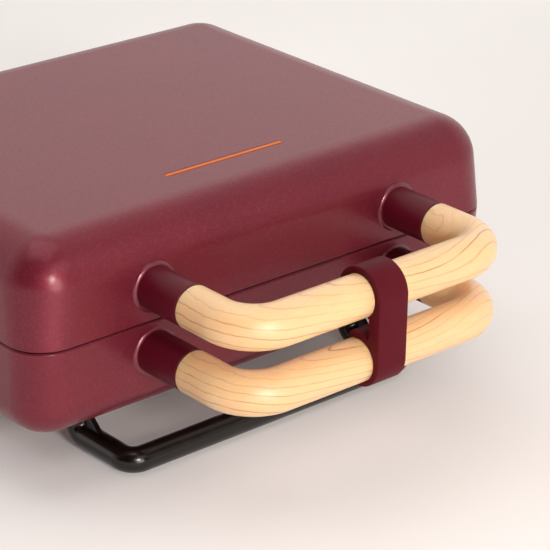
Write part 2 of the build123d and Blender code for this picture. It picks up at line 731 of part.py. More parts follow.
def board_screws():
    """Two screws that hold the lamp board to the lid's posts."""
    short = screw(SCREW_HEAD_RADIUS, SCREW_HEAD_HEIGHT, SCREW_RADIUS, BOARD_THICKNESS + BOARD_DROP / 2)
    seat = board_level() - BOARD_THICKNESS
    return [Pos(side * BOARD_POST_PITCH / 2, WINDOW_Y, seat) * short for side in SIDES]


def lamps():
    """Round-nosed lamps on the board."""
    pieces = []
    height = BOARD_DROP - WINDOW_FLANGE_THICKNESS - LAMP_CLEARANCE
    for i in range(LAMP_COUNT):
        x = (i - (LAMP_COUNT - 1) / 2) * LAMP_PITCH
        lamp = Pos(x, WINDOW_Y, board_level() + height / 2) * Cylinder(LAMP_RADIUS, height)
        pieces.append(fillet(lamp.faces().sort_by(Axis.Z)[-1].edges(), LAMP_RADIUS * 0.9))
    return pieces


def indicator_wires():
    """Two straight leads along the lid from the lamp board to the block."""
    z = board_level() - BOARD_THICKNESS / 2
    front = WINDOW_Y + BOARD_WIDTH / 2
    offsets = [side * (BLOCK_LENGTH / 2 - INDICATOR_WIRE_SET_IN) for side in SIDES]
    return [rod(BOARD_THICKNESS / 2, (x, front, z), (x, BLOCK_FRONT_Y, z)) for x in offsets]


def lid_shell():
    """The lid with its window slot, board posts and the holes in its rear wall."""
    shell = LID.shell()
    slot = SlotOverall(WINDOW_LENGTH + 2 * RUNNING_GAP, WINDOW_WIDTH + 2 * RUNNING_GAP)
    shell -= extrude(Pos(0, WINDOW_Y, 0) * slot, LID.height)
    for side in SIDES:
        post = Pos(side * BOARD_POST_PITCH / 2, WINDOW_Y, (board_level() + LID.inner_end) / 2)
        shell += post * Cylinder(BOARD_POST_RADIUS, BOARD_DROP)
        shell -= Pos(side * BOARD_POST_PITCH / 2, WINDOW_Y, 0) * hole(0, board_level() + BOARD_DROP / 2)
    return cut_rear(shell)


def cut_rear(shell):
    """Cut the lead's hole and the hinge screws' holes in a rear wall."""
    shell -= lead_hole()
    for x, z in leaf_screw_places():
        shell -= rod(SCREW_RADIUS, (x, REAR_Y - SCREW_BITE, z), (x, HINGE_Y, z))
    return shell


def base_shell():
    """The base tub with its service opening, foot holes and mains hole."""
    shell = cut_rear(BASE.shell())
    floor = BASE.inner_end
    seat = extrude(Pos(0, 0, BASE_HEIGHT - COVER_THICKNESS) * cover_outline(FIT), COVER_THICKNESS)
    opening = RectangleRounded(COVER_LENGTH - 2 * COVER_LEDGE, COVER_WIDTH - 2 * COVER_LEDGE, COVER_CORNER)
    for x, y in cover_screw_places():
        shell += Pos(x, y, floor - COVER_LEDGE / 2) * Cylinder(COVER_LEDGE / 2 - FIT, COVER_LEDGE)
    shell = shell - seat - extrude(Pos(0, 0, TRAY_BACK) * opening, BASE_HEIGHT)
    for x, y in cover_screw_places():
        shell -= Pos(x, y, 0) * hole(BASE_HEIGHT - COVER_THICKNESS - SCREW_BITE, SCREW_BITE)
    for x, y in CORNERS:
        shell -= Pos(x * FOOT_SPACING / 2, y * FOOT_RISER_Y, 0) * hole(TRAY_BACK, radius=FOOT_SCREW_RADIUS)
    return shell - rod(GLAND_RADIUS, (GLAND_X, 0, GLAND_Z), (GLAND_X, HINGE_Y, GLAND_Z))


def cover_outline(gap=0.0):
    """The bottom cover's outline, or its seat's when a gap is given."""
    return RectangleRounded(COVER_LENGTH + 2 * gap, COVER_WIDTH + 2 * gap, COVER_CORNER)


def cover_screw_places():
    """The four corners where the bottom cover is screwed down."""
    x = COVER_LENGTH / 2 - COVER_LEDGE / 2
    y = COVER_WIDTH / 2 - COVER_LEDGE / 2
    return [(sx * x, sy * y) for sx, sy in CORNERS]


def bottom_cover():
    """The vented service cover, flush with the underside."""
    cover = extrude(Pos(0, 0, BASE_HEIGHT - COVER_THICKNESS) * cover_outline(), COVER_THICKNESS)
    for i in range(COVER_VENTS):
        x = (i - (COVER_VENTS - 1) / 2) * COVER_VENT_PITCH
        vent = SlotOverall(COVER_VENT_LENGTH, COVER_VENT_WIDTH, rotation=90)
        cover -= extrude(Pos(x, 0, 0) * vent, 2 * BASE_HEIGHT)
    for x, y in cover_screw_places():
        cover -= Pos(x, y, 0) * hole(BASE_HEIGHT - 2 * COVER_THICKNESS)
    return cover


def cover_screws():
    """Four screws up through the bottom cover."""
    turned = Rot(180, 0, 0) * small_screw()
    return [Pos(x, y, BASE_HEIGHT) * turned for x, y in cover_screw_places()]


def cord_gland():
    """The bush in the rear wall that the mains cord enters through."""

    def round_bar(radius, start_y, end_y):
        return rod(radius, (GLAND_X, start_y, GLAND_Z), (GLAND_X, end_y, GLAND_Z))

    tail = round_bar(GLAND_RADIUS, REAR_Y - GLAND_TAIL, REAR_Y)
    flange = round_bar(GLAND_FLANGE_RADIUS, REAR_Y - 2 * WALL, REAR_Y + GLAND_FLANGE)
    flange = fillet(flange.faces().sort_by(Axis.Y)[-1].edges(), GLAND_ROUNDING) - BASE.outer
    return tail + flange - round_bar(GLAND_BORE_RADIUS, 0, HINGE_Y)


def foot_frame(direction):
    """A U-shaped tube that lies on the table and turns up under the body."""
    x = FOOT_SPACING / 2
    bar_y = direction * FOOT_BAR_Y
    riser_y = direction * FOOT_RISER_Y
    points = [
        (-x, riser_y, BASE_CLEARANCE),
        (-x, riser_y, FOOT_Z),
        (-x, bar_y, FOOT_Z),
        (x, bar_y, FOOT_Z),
        (x, riser_y, FOOT_Z),
        (x, riser_y, BASE_CLEARANCE),
    ]
    frame = tube_path(FOOT_TUBE_RADIUS, points, FOOT_BEND)
    heel_z = FOOT_Z + FOOT_TUBE_RADIUS / 2
    riser_face = riser_y + direction * FOOT_TUBE_RADIUS / 2
    web_base = FOOT_TUBE_RADIUS / 2 + GUSSET_RUN
    web = Polygon(
        (riser_face, heel_z),
        (riser_y + direction * web_base, heel_z),
        (riser_y + direction * web_base, FOOT_Z + FOOT_TUBE_RADIUS - GUSSET_TOE),
        (riser_face, FOOT_Z + FOOT_TUBE_RADIUS + GUSSET_RISE),
        align=None,
    )
    gusset = extrude(Plane.YZ * web, GUSSET_THICKNESS / 2, both=True)
    for side in SIDES:
        frame += Pos(side * x, 0, 0) * gusset
        screw_z = BASE_CLEARANCE - FOOT_SCREW_BITE
        frame -= Pos(side * x, riser_y, 0) * hole(screw_z, radius=FOOT_SCREW_RADIUS)
        frame -= foot_pad(side, direction)
    return Pos(0, BODY_Y, 0) * frame


def foot_pad(side, direction):
    """A rubber strip let into the underside of a foot bar."""
    pad = Pos(side * FOOT_PAD_SPACING / 2, direction * FOOT_BAR_Y, FOOT_PAD_THICKNESS / 2)
    return pad * Box(FOOT_PAD_LENGTH, FOOT_PAD_WIDTH, FOOT_PAD_THICKNESS)


def foot_screws():
    """Four screws from inside the base down into the risers."""
    shank = FOOT_SCREW_BITE + BASE_FLOOR
    down = Rot(180, 0, 0) * screw(FOOT_SCREW_HEAD_RADIUS, FOOT_SCREW_HEAD, FOOT_SCREW_RADIUS, shank)
    z = BASE_CLEARANCE + BASE_FLOOR
    return [Pos(x * FOOT_SPACING / 2, y * FOOT_RISER_Y + BODY_Y, z) * down for x, y in CORNERS]


LID = Half(LID_HEIGHT, LID_CROWN_CORNER, LID_EDGE_RADIUS, UPPER_BAR_RISE, WALL)
BASE = Half(BASE_HEIGHT, BASE_CROWN_CORNER, BASE_EDGE_RADIUS, LOWER_BAR_DROP, BASE_FLOOR)

LID_SPANS = [(-LID_KNUCKLE / 2, LID_KNUCKLE / 2)]
BASE_INNER = LID_KNUCKLE / 2 + KNUCKLE_GAP
BASE_SPANS = [(-BASE_INNER - BASE_KNUCKLE, -BASE_INNER), (BASE_INNER, BASE_INNER + BASE_KNUCKLE)]

# What both halves hold
for prefix, half, place in (("upper", LID, in_lid), ("lower", BASE, in_base)):
    save(f"{prefix}_bezel", place(bezel(half)))
    save(f"{prefix}_bezel_screws", *[place(piece) for piece in bezel_screws()])
    save(f"{prefix}_plate", place(cooking_plate()))
    save(f"{prefix}_plate_screws", *[place(piece) for piece in plate_screws()])
    save(f"{prefix}_heater", place(heater()))
    save(f"{prefix}_heater_clamps", *[place(piece) for piece in heater_clamps()])
    save(f"{prefix}_reflector", place(reflector()))
    save(f"{prefix}_thermostat", place(thermostat()))
    save(f"{prefix}_terminal_block", place(terminal_block(half)))
    save(f"{prefix}_wires", *[place(piece) for piece in heater_wires(half)])
    save(f"{prefix}_collars", *[place(half.collar(x)) for x in SIDES])
    save(f"{prefix}_ferrules", *[place(half.ferrule(x)) for x in SIDES])
    save(f"{prefix}_grip", place(half.grip()))
    save(f"{prefix}_handle_bolts", *[place(piece) for piece in half.handle_bolts()])
    save(f"{prefix}_hinge_screws", *[place(piece) for piece in leaf_screws()])

# Lid
save("lid_shell", in_lid(lid_shell()))
save("lid_knuckles", *[in_lid(piece) for piece in knuckles(LID, LID_SPANS)])
save("indicator_lens", in_lid(window()))
save("lamp_board", in_lid(lamp_board()))
save("lamp_board_screws", *[in_lid(piece) for piece in board_screws()])
save("lamps", *[in_lid(piece) for piece in lamps()])
save("indicator_wires", *[in_lid(piece) for piece in indicator_wires()])

# Base
save("base_shell", in_base(base_shell()))
save("base_knuckles", *[in_base(piece) for piece in knuckles(BASE, BASE_SPANS)])
save("hinge_pins", *[in_lid(piece) for piece in hinge_pins()])
save("hinge_lead", in_lid(tube_path(LEAD_RADIUS, hinge_lead_points(), LEAD_BEND)))
save("thermal_fuse", in_base(thermal_fuse()))
save("cord_gland", in_base(cord_gland()))
save("bottom_cover", in_base(bottom_cover()))
save("cover_screws", *[in_base(piece) for piece in cover_screws()])
save("front_foot_frame", foot_frame(-1))
save("rear_foot_frame", foot_frame(1))
save("foot_pads", *[Pos(0, BODY_Y, 0) * foot_pad(x, y) for x, y in CORNERS])
save("foot_screws", *foot_screws())

# Latch
save("clip_liner", in_lid(clip_liner()))
save("latch_clip", in_lid(latch_clip()))
save("clip_lips", *[in_lid(piece) for piece in clip_lips()])

print(f"body centre at y = {BODY_Y:.3f}, seam at z = {SEAM_Z:.3f}")
print(f"upper bar axis at y = {BAR_Y + BODY_Y:.3f}, z = {SEAM_Z + UPPER_BAR_RISE:.3f}")
print(f"hinge axis at y = {HINGE_Y + BODY_Y:.3f}, z = {SEAM_Z:.3f}")
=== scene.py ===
"""Dresses the packed sandwich maker: its wooden grips, clip, screws, finishes, light and camera.

Sizes are in millimetres until a mesh is made, and every mesh is in the row frame: +X to the user's right,
+Y to the rear hinge and +Z up from the table.
"""

import logging
import math
from dataclasses import dataclass
from enum import Enum
from typing import Any, Mapping, Sequence

import bmesh
import bpy
import numpy as np
from mathutils import Matrix, Vector


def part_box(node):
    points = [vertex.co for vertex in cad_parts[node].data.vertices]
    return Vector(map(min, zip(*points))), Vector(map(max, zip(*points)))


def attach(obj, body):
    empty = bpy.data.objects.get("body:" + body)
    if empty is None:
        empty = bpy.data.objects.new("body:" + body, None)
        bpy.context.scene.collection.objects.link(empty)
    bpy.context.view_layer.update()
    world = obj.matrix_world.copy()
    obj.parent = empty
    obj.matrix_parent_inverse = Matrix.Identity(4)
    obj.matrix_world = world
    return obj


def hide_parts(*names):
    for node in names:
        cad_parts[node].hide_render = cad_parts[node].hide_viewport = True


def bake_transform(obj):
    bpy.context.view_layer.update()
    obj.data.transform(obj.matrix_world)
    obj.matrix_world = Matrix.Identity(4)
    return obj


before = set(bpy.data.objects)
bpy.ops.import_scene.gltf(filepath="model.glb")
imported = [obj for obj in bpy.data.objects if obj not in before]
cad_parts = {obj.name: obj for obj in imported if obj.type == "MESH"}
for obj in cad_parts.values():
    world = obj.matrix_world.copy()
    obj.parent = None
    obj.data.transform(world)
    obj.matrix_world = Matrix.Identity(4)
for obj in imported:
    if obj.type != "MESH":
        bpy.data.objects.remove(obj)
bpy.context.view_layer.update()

log = logging.getLogger("sandwich_maker")

MM = 0.001

Triple = tuple[float, float, float]
Pair = tuple[float, float]
Tree = bpy.types.NodeTree
Socket = bpy.types.NodeSocket

# The middle of the body from front to rear, the middle of the lid's window, and where the rings sit in the
# front wall
BODY_Y = 29.3
WINDOW_Y = BODY_Y - 69.8
FRONT_WALL_Y = -80.0

# The seam between the two halves
SEAM_Z = 74.3

# The grips: their straight bars, the ends of the wood, the two heights, the legs and the radius
BAR_Y = -142.5
JOINT_Y = -106.5
UPPER_BAR_Z = 90.2
LOWER_BAR_Z = 59.5
LEG_X = 72.3
GRIP_RADIUS = 10.0

# The signs of X and Y at the corners of a rectangle
CORNERS = ((-1, -1), (-1, 1), (1, -1), (1, 1))

# Points closer than this are one point, and edges shorter than this are none
WELD = 0.0005 * MM
SLIVER = 0.0002 * MM


class Body(Enum):
    """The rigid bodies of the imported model."""

    BASE = "base"
    LID = "lid"
    LINER = "liner"
    CLIP = "clip"


class Side(Enum):
    """The two sides of the object, by the sign of X."""

    LEFT = -1
    RIGHT = 1


@dataclass(frozen=True)
class Surface:
    """One grid surface: its points in millimetres and the quads between them."""

    points: np.ndarray
    quads: np.ndarray


# The height part of a unit direction from which it counts as upright
UPRIGHT = 0.9


@dataclass(frozen=True)
class Seat:
    """Where a turned piece sits: a point on its axis and the direction that its front faces."""

    point: Triple
    axis: Triple

    def basis(self) -> np.ndarray:
        """The two directions across the axis and the axis itself, as rows."""
        axis = np.array(self.axis, float)
        # Any direction does that isn't near the axis
        helper = np.array([0.0, 0.0, 1.0]) if abs(axis[2]) < UPRIGHT else np.array([1.0, 0.0, 0.0])
        across = np.cross(helper, axis)
        across /= np.linalg.norm(across)
        return np.stack([across, np.cross(axis, across), axis])


# Colours and nodes. The Mix node's colour sockets share their names with others, so that they go by number:
# inputs 6 and 7, and output 2.

# Noise seldom leaves this range, so that gloss and relief take it as the whole
GRAIN_LOW = 0.3
GRAIN_HIGH = 0.7

# The period of the wave texture's bands at a scale of one
WAVE_PERIOD = 0.314


def linear(colour: str) -> tuple[float, float, float, float]:
    """Turns an sRGB hex colour into the linear colour that the shaders take.

    Args:
        colour: Six hex digits after a hash.

    Returns:
        Red, green, blue and an alpha of one.
    """
    parts = [int(colour[i : i + 2], 16) / 255 for i in (1, 3, 5)]
    red, green, blue = (p / 12.92 if p <= 0.04045 else ((p + 0.055) / 1.055) ** 2.4 for p in parts)
    return red, green, blue, 1.0


def add(
    tree: Tree,
    kind: str,
    inputs: Mapping[Any, Any] | None = None,
    output: int | str = 0,
    **settings: Any,
) -> Any:
    """Adds one node with its settings, its values and its links.

    Args:
        tree: The node tree that takes the node.
        kind: The node's type name.
        inputs: Values or sockets by input name or number.
        output: The name or number of the output that is wanted.
        settings: Properties of the node itself.

    Returns:
        That output's socket, or none for a node that ends the tree.
    """
    made = tree.nodes.new(kind)
    for name, value in settings.items():
        setattr(made, name, value)
    for key, value in (inputs or {}).items():
        if isinstance(value, Socket):
            tree.links.new(value, made.inputs[key])
        else:
            made.inputs[key].default_value = value
    return made.outputs[output] if len(made.outputs) else None


def ramp(tree: Tree, factor: Socket, stops: Sequence[tuple[float, str]]) -> Socket:
    """Adds a colour ramp with the given stops.

    Args:
        tree: The node tree that takes the ramp.
        factor: The socket that sets the place on the ramp.
        stops: Positions from zero to one with their hex colours.

    Returns:
        The ramp's colour socket.
    """
    made = add(tree, "ShaderNodeValToRGB", {0: factor})
    elements = made.node.color_ramp.elements
    while len(elements) < len(stops):
        elements.new(0.5)
    for element, (position, colour) in zip(elements, stops):
        element.position = position
        element.color = linear(colour)
    return made


@dataclass(frozen=True)
class Finish:
    """What every finish has: a name, and a material that is made once."""

    name: str

    def material(self) -> bpy.types.Material:
        """The finish as a material, made on its first use."""
        found = bpy.data.materials.get(self.name)
        if found is not None:
            return found
        made = bpy.data.materials.new(self.name)
        made.use_nodes = True
        made.node_tree.nodes.clear()
        shader = self.shader(made.node_tree)
        add(made.node_tree, "ShaderNodeOutputMaterial", {"Surface": shader})
        return made

    def shader(self, tree: Tree) -> Socket:
        """Adds the finish's nodes. Each kind of finish has its own.

        Args:
            tree: The material's node tree.

        Returns:
            The shader's socket.
        """
        raise NotImplementedError

    def millimetres(self, tree: Tree) -> Socket:
        """Object coordinates in millimetres, so that a pattern's scale is a real size."""
        place = add(tree, "ShaderNodeTexCoord", output="Object")
        return add(tree, "ShaderNodeMapping", {0: place, 3: (1 / MM,) * 3})


class GrainedFinish(Finish):
    """A finish whose gloss and relief both follow one fine grain.

    Its dips are smoother than the finish's roughness and its tops rougher, by the given amounts. The relief
    is its depth in millimetres, and the strength is how much of that shows.
    """

    roughness: float
    smoother: float
    rougher: float
    strength: float
    relief: float

    def grained(self, tree: Tree, grain: Socket, inputs: Mapping[str, Any]) -> Socket:
        """Adds the shader with the grain's gloss and relief.

        Args:
            tree: The node tree that takes the nodes.
            grain: The grain's socket.
            inputs: The shader's other inputs.

        Returns:
            The shader's socket.
        """
        low, high = self.roughness - self.smoother, self.roughness + self.rougher
        rough = add(tree, "ShaderNodeMapRange", {0: grain, 1: GRAIN_LOW, 2: GRAIN_HIGH, 3: low, 4: high})
        relief = {"Height": grain, "Strength": self.strength, "Distance": self.relief * MM}
        bump = add(tree, "ShaderNodeBump", relief)
        return add(tree, "ShaderNodeBsdfPrincipled", {"Roughness": rough, "Normal": bump, **inputs})


@dataclass(frozen=True)
class SatinPaint(GrainedFinish):
    """Burgundy paint with aluminium flake under a satin clear coat, sprayed and baked on moulded shells.

    The flake gives a broad sheen of the paint's own red, and the clear coat a smaller white one. The grit,
    about 0.3 mm across, is drawn at 0.8 mm, because its real size is below one pixel. Its sparkle is a
    painted
    highlight: random cells of the grit are mixed towards a paler colour.
    The coat lies a little thicker and thinner over 35 mm, which shifts the red slightly.
    """

    colour: str = "#792433"
    # The paler colour of the painted sparkle highlight
    painted_glint: str = "#92424C"
    dim: str = "#742131"
    roughness: float = 0.50
    smoother: float = 0.05
    rougher: float = 0.06
    grit: float = 0.8
    cloud: float = 35.0
    strength: float = 0.6
    relief: float = 0.035
    coat: float = 0.56
    coat_roughness: float = 0.235
    ior: float = 1.45
    specular: float = 0.2
    flake: float = 0.55
    painted_glint_from: float = 0.6
    painted_glint_share: float = 0.22

    def shader(self, tree: Tree) -> Socket:
        """Paint colour with a painted sparkle highlight, and a grit relief."""
        place = self.millimetres(tree)
        cloud = add(tree, "ShaderNodeTexNoise", {"Vector": place, "Scale": 1 / self.cloud, "Detail": 2.0})
        grain = add(tree, "ShaderNodeTexNoise", {"Vector": place, "Scale": 1 / self.grit, "Detail": 3.0})
        cells = add(tree, "ShaderNodeTexVoronoi", {"Vector": place, "Scale": 1 / self.grit}, output="Color")
        spark = add(tree, "ShaderNodeSeparateColor", {0: cells})
        base = ramp(tree, cloud, [(GRAIN_LOW, self.dim), (GRAIN_HIGH, self.colour)])
        # Painted highlight: random cells of the grit are mixed towards the paler colour
        painted_glints = add(tree, "ShaderNodeMapRange", {0: spark, 1: self.painted_glint_from, 2: 1.0, 4: self.painted_glint_share})
        mixed = {0: painted_glints, 6: base, 7: linear(self.painted_glint)}
        inputs = {
            "Base Color": add(tree, "ShaderNodeMix", mixed, output=2, data_type="RGBA"),
            "Metallic": self.flake,
            "IOR": self.ior,
            "Specular IOR Level": self.specular,
            "Coat Weight": self.coat,
            "Coat Roughness": self.coat_roughness,
            "Coat IOR": self.ior,
        }
        return self.grained(tree, grain, inputs)


@dataclass(frozen=True)
class MouldedPlastic(GrainedFinish):
    """Injection-moulded plastic, such as glass-filled nylon or ABS.

    A spark-eroded mould leaves a fine pebble on it, which shows as soft highlights and slightly uneven
    gloss. The pebble's real size of about 0.2 mm is drawn at the given size so that it shows. The colour
    clouds faintly over 14 mm. Enamelled tube, coated castings, resin, laminate, steatite and rubber have the
    same kind of surface at this size and use it too.
    """

    colour: str
    light: str
    roughness: float = 0.42
    smoother: float = 0.04
    rougher: float = 0.05
    pebble: float = 0.7
    cloud: float = 14.0
    strength: float = 0.5
    relief: float = 0.015
    ior: float = 1.5

    def shader(self, tree: Tree) -> Socket:
        """Body colour with faint clouding, and a pebble relief."""
        place = self.millimetres(tree)
        cloud = add(tree, "ShaderNodeTexNoise", {"Vector": place, "Scale": 1 / self.cloud, "Detail": 3.0})
        pebble = add(tree, "ShaderNodeTexNoise", {"Vector": place, "Scale": 1 / self.pebble, "Detail": 2.0})
        base = ramp(tree, cloud, [(0.35, self.colour), (0.75, self.light)])
        return self.grained(tree, pebble, {"Base Color": base, "IOR": self.ior})


@dataclass(frozen=True)
class OiledAsh(GrainedFinish):
    """Solid ash, cut to a U from one board, sanded fine and sealed with a clear matt oil.

    The growth rings lie round a heart line that leaves the board through the right leg and climbs to the
    left, so that they draw long lines which sink across the bar, level lines round the left bend and arcs
    on the right leg. They are oval, and their width grows outwards, from 1 mm at the heart to 5 mm on the
    left leg. Near the heart two uneven arcs and a band of strokes 1.4 mm apart take their place. A noise of
    14 mm, drawn out along the bar, shifts the rings within 2.8 mm, and one of 3.5 mm within 0.3 mm.
    Fibres about 0.2 mm wide are drawn at 0.5 mm. Light enters the pale wood and comes out a few millimetres
    away, red the furthest, and the oil lies on it as a thin coat.
    """

    heart: Triple
    climb: float = 0.30
    level_off: float = 0.0006
    drift: float = 0.10
    flatness: float = 1.73
    flattening: float = 0.0064
    rings: float = 7.5
    early: str = "#FED09A"
    late: str = "#A8561A"
    wander: float = 14.0
    wander_reach: float = 2.8
    along_bar: float = 0.35
    ripple: float = 3.5
    ripple_reach: float = 0.3
    late_from: float = 0.78
    late_full: float = 0.95
    ring_powers: Pair = (0.16, 0.92)
    ring_fade: Triple = (0.38, 0.56, 0.45)
    rings_clear: Pair = (15.0, 21.0)
    knot: float = 6.0
    knot_reach: float = 2.2
    heart_size: float = 25.0
    stroke_pitch: float = 1.4
    stroke_from: float = 0.72
    fibre: float = 0.5
    fibre_stretch: float = 0.06
    fibre_lean: float = 0.7
    fibre_tones: Pair = (0.94, 1.03)
    roughness: float = 0.42
    smoother: float = 0.04
    rougher: float = 0.06
    strength: float = 0.35
    relief: float = 0.02
    ior: float = 1.5
    scatter: float = 0.5
    scatter_reach: float = 5.0
    oil: float = 0.8
    oil_roughness: float = 0.40

    def bent_place(self, tree: Tree, place: Socket) -> tuple[Socket, Socket]:
        """Shifts a place across the grain by the two noises.

        Args:
            tree: The node tree that takes the nodes.
            place: The place's socket, in millimetres.

        Returns:
            The shifted place, and the slow noise.
        """
        slow = add(tree, "ShaderNodeMapping", {0: place, 3: (self.along_bar, 1.0, 1.0)})
        wander = add(tree, "ShaderNodeTexNoise", {"Vector": slow, "Scale": 1 / self.wander, "Detail": 2.0})
        ripple = add(tree, "ShaderNodeTexNoise", {"Vector": place, "Scale": 1 / self.ripple, "Detail": 1.0})
        bent = place
        for noise, reach in ((wander, self.wander_reach), (ripple, self.ripple_reach)):
            middle = {0: noise.node.outputs["Color"], 1: (0.5, 0.5, 0.5)}
            shift = add(tree, "ShaderNodeVectorMath", middle, operation="SUBTRACT")
            shifted = {0: shift, 1: (0.0, reach, reach), 2: bent}
            bent = add(tree, "ShaderNodeVectorMath", shifted, operation="MULTIPLY_ADD")
        return bent, wander

    def heart_distance(self, tree: Tree, place: Socket) -> Socket:
        """How far a place is from the heart line, with heights counted for more so that the rings are oval.

        With t = heart x - x, the line is at y = heart y - drift t and z = heart z + climb t - level_off t^2,
        and the distance sideways counts for 1 - flattening t.

        Args:
            tree: The node tree that takes the nodes.
            place: The place's socket, in millimetres.

        Returns:
            The distance's socket.
        """
        parts = add(tree, "ShaderNodeSeparateXYZ", {0: place}).node.outputs
        back = add(tree, "ShaderNodeMath", {0: self.heart[0], 1: parts["X"]}, operation="SUBTRACT")
        from_y = add(tree, "ShaderNodeMath", {0: parts["Y"], 1: self.heart[1]}, operation="SUBTRACT")
        from_z = add(tree, "ShaderNodeMath", {0: parts["Z"], 1: self.heart[2]}, operation="SUBTRACT")
        share = add(tree, "ShaderNodeMath", {0: back, 1: -self.flattening, 2: 1.0}, operation="MULTIPLY_ADD")
        sinking = {0: back, 1: self.level_off, 2: -self.climb}
        slope = add(tree, "ShaderNodeMath", sinking, operation="MULTIPLY_ADD")
        sideways = add(tree, "ShaderNodeMath", {0: back, 1: self.drift, 2: from_y}, operation="MULTIPLY_ADD")
        side = add(tree, "ShaderNodeMath", {0: sideways, 1: share}, operation="MULTIPLY")
        rise = add(tree, "ShaderNodeMath", {0: back, 1: slope, 2: from_z}, operation="MULTIPLY_ADD")
        oval = add(tree, "ShaderNodeMath", {0: rise, 1: self.flatness}, operation="MULTIPLY")
        square = add(tree, "ShaderNodeMath", {0: side, 1: side}, operation="MULTIPLY")
        square = add(tree, "ShaderNodeMath", {0: oval, 1: oval, 2: square}, operation="MULTIPLY_ADD")
        return add(tree, "ShaderNodeMath", {0: square}, operation="SQRT")

    def growth_lines(self, tree: Tree, radius: Socket, wander: Socket) -> Socket:
        """How much late wood the outer rings show. Each darkens outwards, ends at once and has its own power.

        Args:
            tree: The node tree that takes the nodes.
            radius: The heart distance. A ring's number is rings x ln(radius).
            wander: The slow noise, which fades the rings here and there.

        Returns:
            The late wood's socket, from zero to one.
        """
        growth = add(tree, "ShaderNodeMath", {0: radius, 1: math.e}, operation="LOGARITHM")
        ring = add(tree, "ShaderNodeMath", {0: growth, 1: self.rings}, operation="MULTIPLY")
        part = add(tree, "ShaderNodeMath", {0: ring}, operation="FRACT")
        number = add(tree, "ShaderNodeMath", {0: ring}, operation="FLOOR")
        chance = add(tree, "ShaderNodeTexWhiteNoise", {"W": number}, noise_dimensions="1D")
        darker = {0: part, 1: self.late_from, 2: self.late_full}
        line = add(tree, "ShaderNodeMapRange", darker, interpolation_type="SMOOTHSTEP")
        fall = add(tree, "ShaderNodeMapRange", {0: part, 1: self.late_full, 2: 1.0, 3: 1.0, 4: 0.0})
        weak, strong = self.ring_powers
        shown = add(tree, "ShaderNodeMapRange", {0: chance, 3: weak, 4: strong})
        low, high, least = self.ring_fade
        fade = add(tree, "ShaderNodeMapRange", {0: wander, 1: low, 2: high, 3: least})
        inner, outer = self.rings_clear
        clear = add(tree, "ShaderNodeMapRange", {0: radius, 1: inner, 2: outer})
        for factor in (fade, clear, line, fall):
            shown = add(tree, "ShaderNodeMath", {0: shown, 1: factor}, operation="MULTIPLY")
        return shown

    def heart_marks(self, tree: Tree, place: Socket, radius: Socket) -> Socket:
        """How much late wood shows near the heart: two uneven arcs, then a band of fine strokes.

        Args:
            tree: The node tree that takes the nodes.
            place: The place's socket, in millimetres.
            radius: The heart distance.

        Returns:
            The late wood's socket, from zero to one.
        """
        knot = add(tree, "ShaderNodeTexNoise", {"Vector": place, "Scale": 1 / self.knot, "Detail": 1.0})
        reach = {0: knot, 1: 0.25, 2: 0.75, 3: -self.knot_reach, 4: self.knot_reach}
        lump = add(tree, "ShaderNodeMapRange", reach)
        uneven = add(tree, "ShaderNodeMath", {0: radius, 1: lump}, operation="ADD")
        near = add(tree, "ShaderNodeMath", {0: uneven, 1: self.heart_size}, operation="DIVIDE")
        none, weak, strong = "#000000", "#707070", "#868686"
        arc = [(0.20, none), (0.28, strong), (0.31, none)]
        arcs = ramp(tree, near, [*arc, (0.50, none), (0.54, weak), (0.56, none)])
        band = ramp(tree, near, [(0.68, none), (0.76, weak), (0.92, weak), (1.0, none)])
        strokes = add(tree, "ShaderNodeMath", {0: radius, 1: self.stroke_pitch}, operation="DIVIDE")
        stroke = add(tree, "ShaderNodeMath", {0: strokes}, operation="FRACT")
        darker = {0: stroke, 1: self.stroke_from, 2: self.late_full}
        thin = add(tree, "ShaderNodeMapRange", darker, interpolation_type="SMOOTHSTEP")
        fine = add(tree, "ShaderNodeMath", {0: thin, 1: band}, operation="MULTIPLY")
        return add(tree, "ShaderNodeMath", {0: arcs, 1: fine}, operation="MAXIMUM")

    def shader(self, tree: Tree) -> Socket:
        """Late wood in lines and marks on early wood, toned by fibres that lie along the grain."""
        place = self.millimetres(tree)
        bent, wander = self.bent_place(tree, place)
        radius = self.heart_distance(tree, bent)
        lines = self.growth_lines(tree, radius, wander)
        marks = self.heart_marks(tree, place, radius)
        late = add(tree, "ShaderNodeMath", {0: lines, 1: marks}, operation="MAXIMUM")
        lean = math.atan(self.climb) * self.fibre_lean
        drawn = {0: bent, 2: (0.0, lean, 0.0), 3: (self.fibre_stretch, 1.0, 1.0)}
        streak = add(tree, "ShaderNodeMapping", drawn)
        fibre = add(tree, "ShaderNodeTexNoise", {"Vector": streak, "Scale": 1 / self.fibre, "Detail": 3.0})
        mixed = {0: late, 6: linear(self.early), 7: linear(self.late)}
        tint = add(tree, "ShaderNodeMix", mixed, output=2, data_type="RGBA")
        dark, light = self.fibre_tones
        shade = add(tree, "ShaderNodeMapRange", {0: fibre, 1: GRAIN_LOW, 2: GRAIN_HIGH, 3: dark, 4: light})
        inputs = {
            "Base Color": add(tree, "ShaderNodeVectorMath", {0: tint, "Scale": shade}, operation="SCALE"),
            "IOR": self.ior,
            "Subsurface Weight": self.scatter,
            "Subsurface Radius": (1.0, 0.35, 0.12),
            "Subsurface Scale": self.scatter_reach * MM,
            "Coat Weight": self.oil,
            "Coat Roughness": self.oil_roughness,
        }
        return self.grained(tree, fibre, inputs)


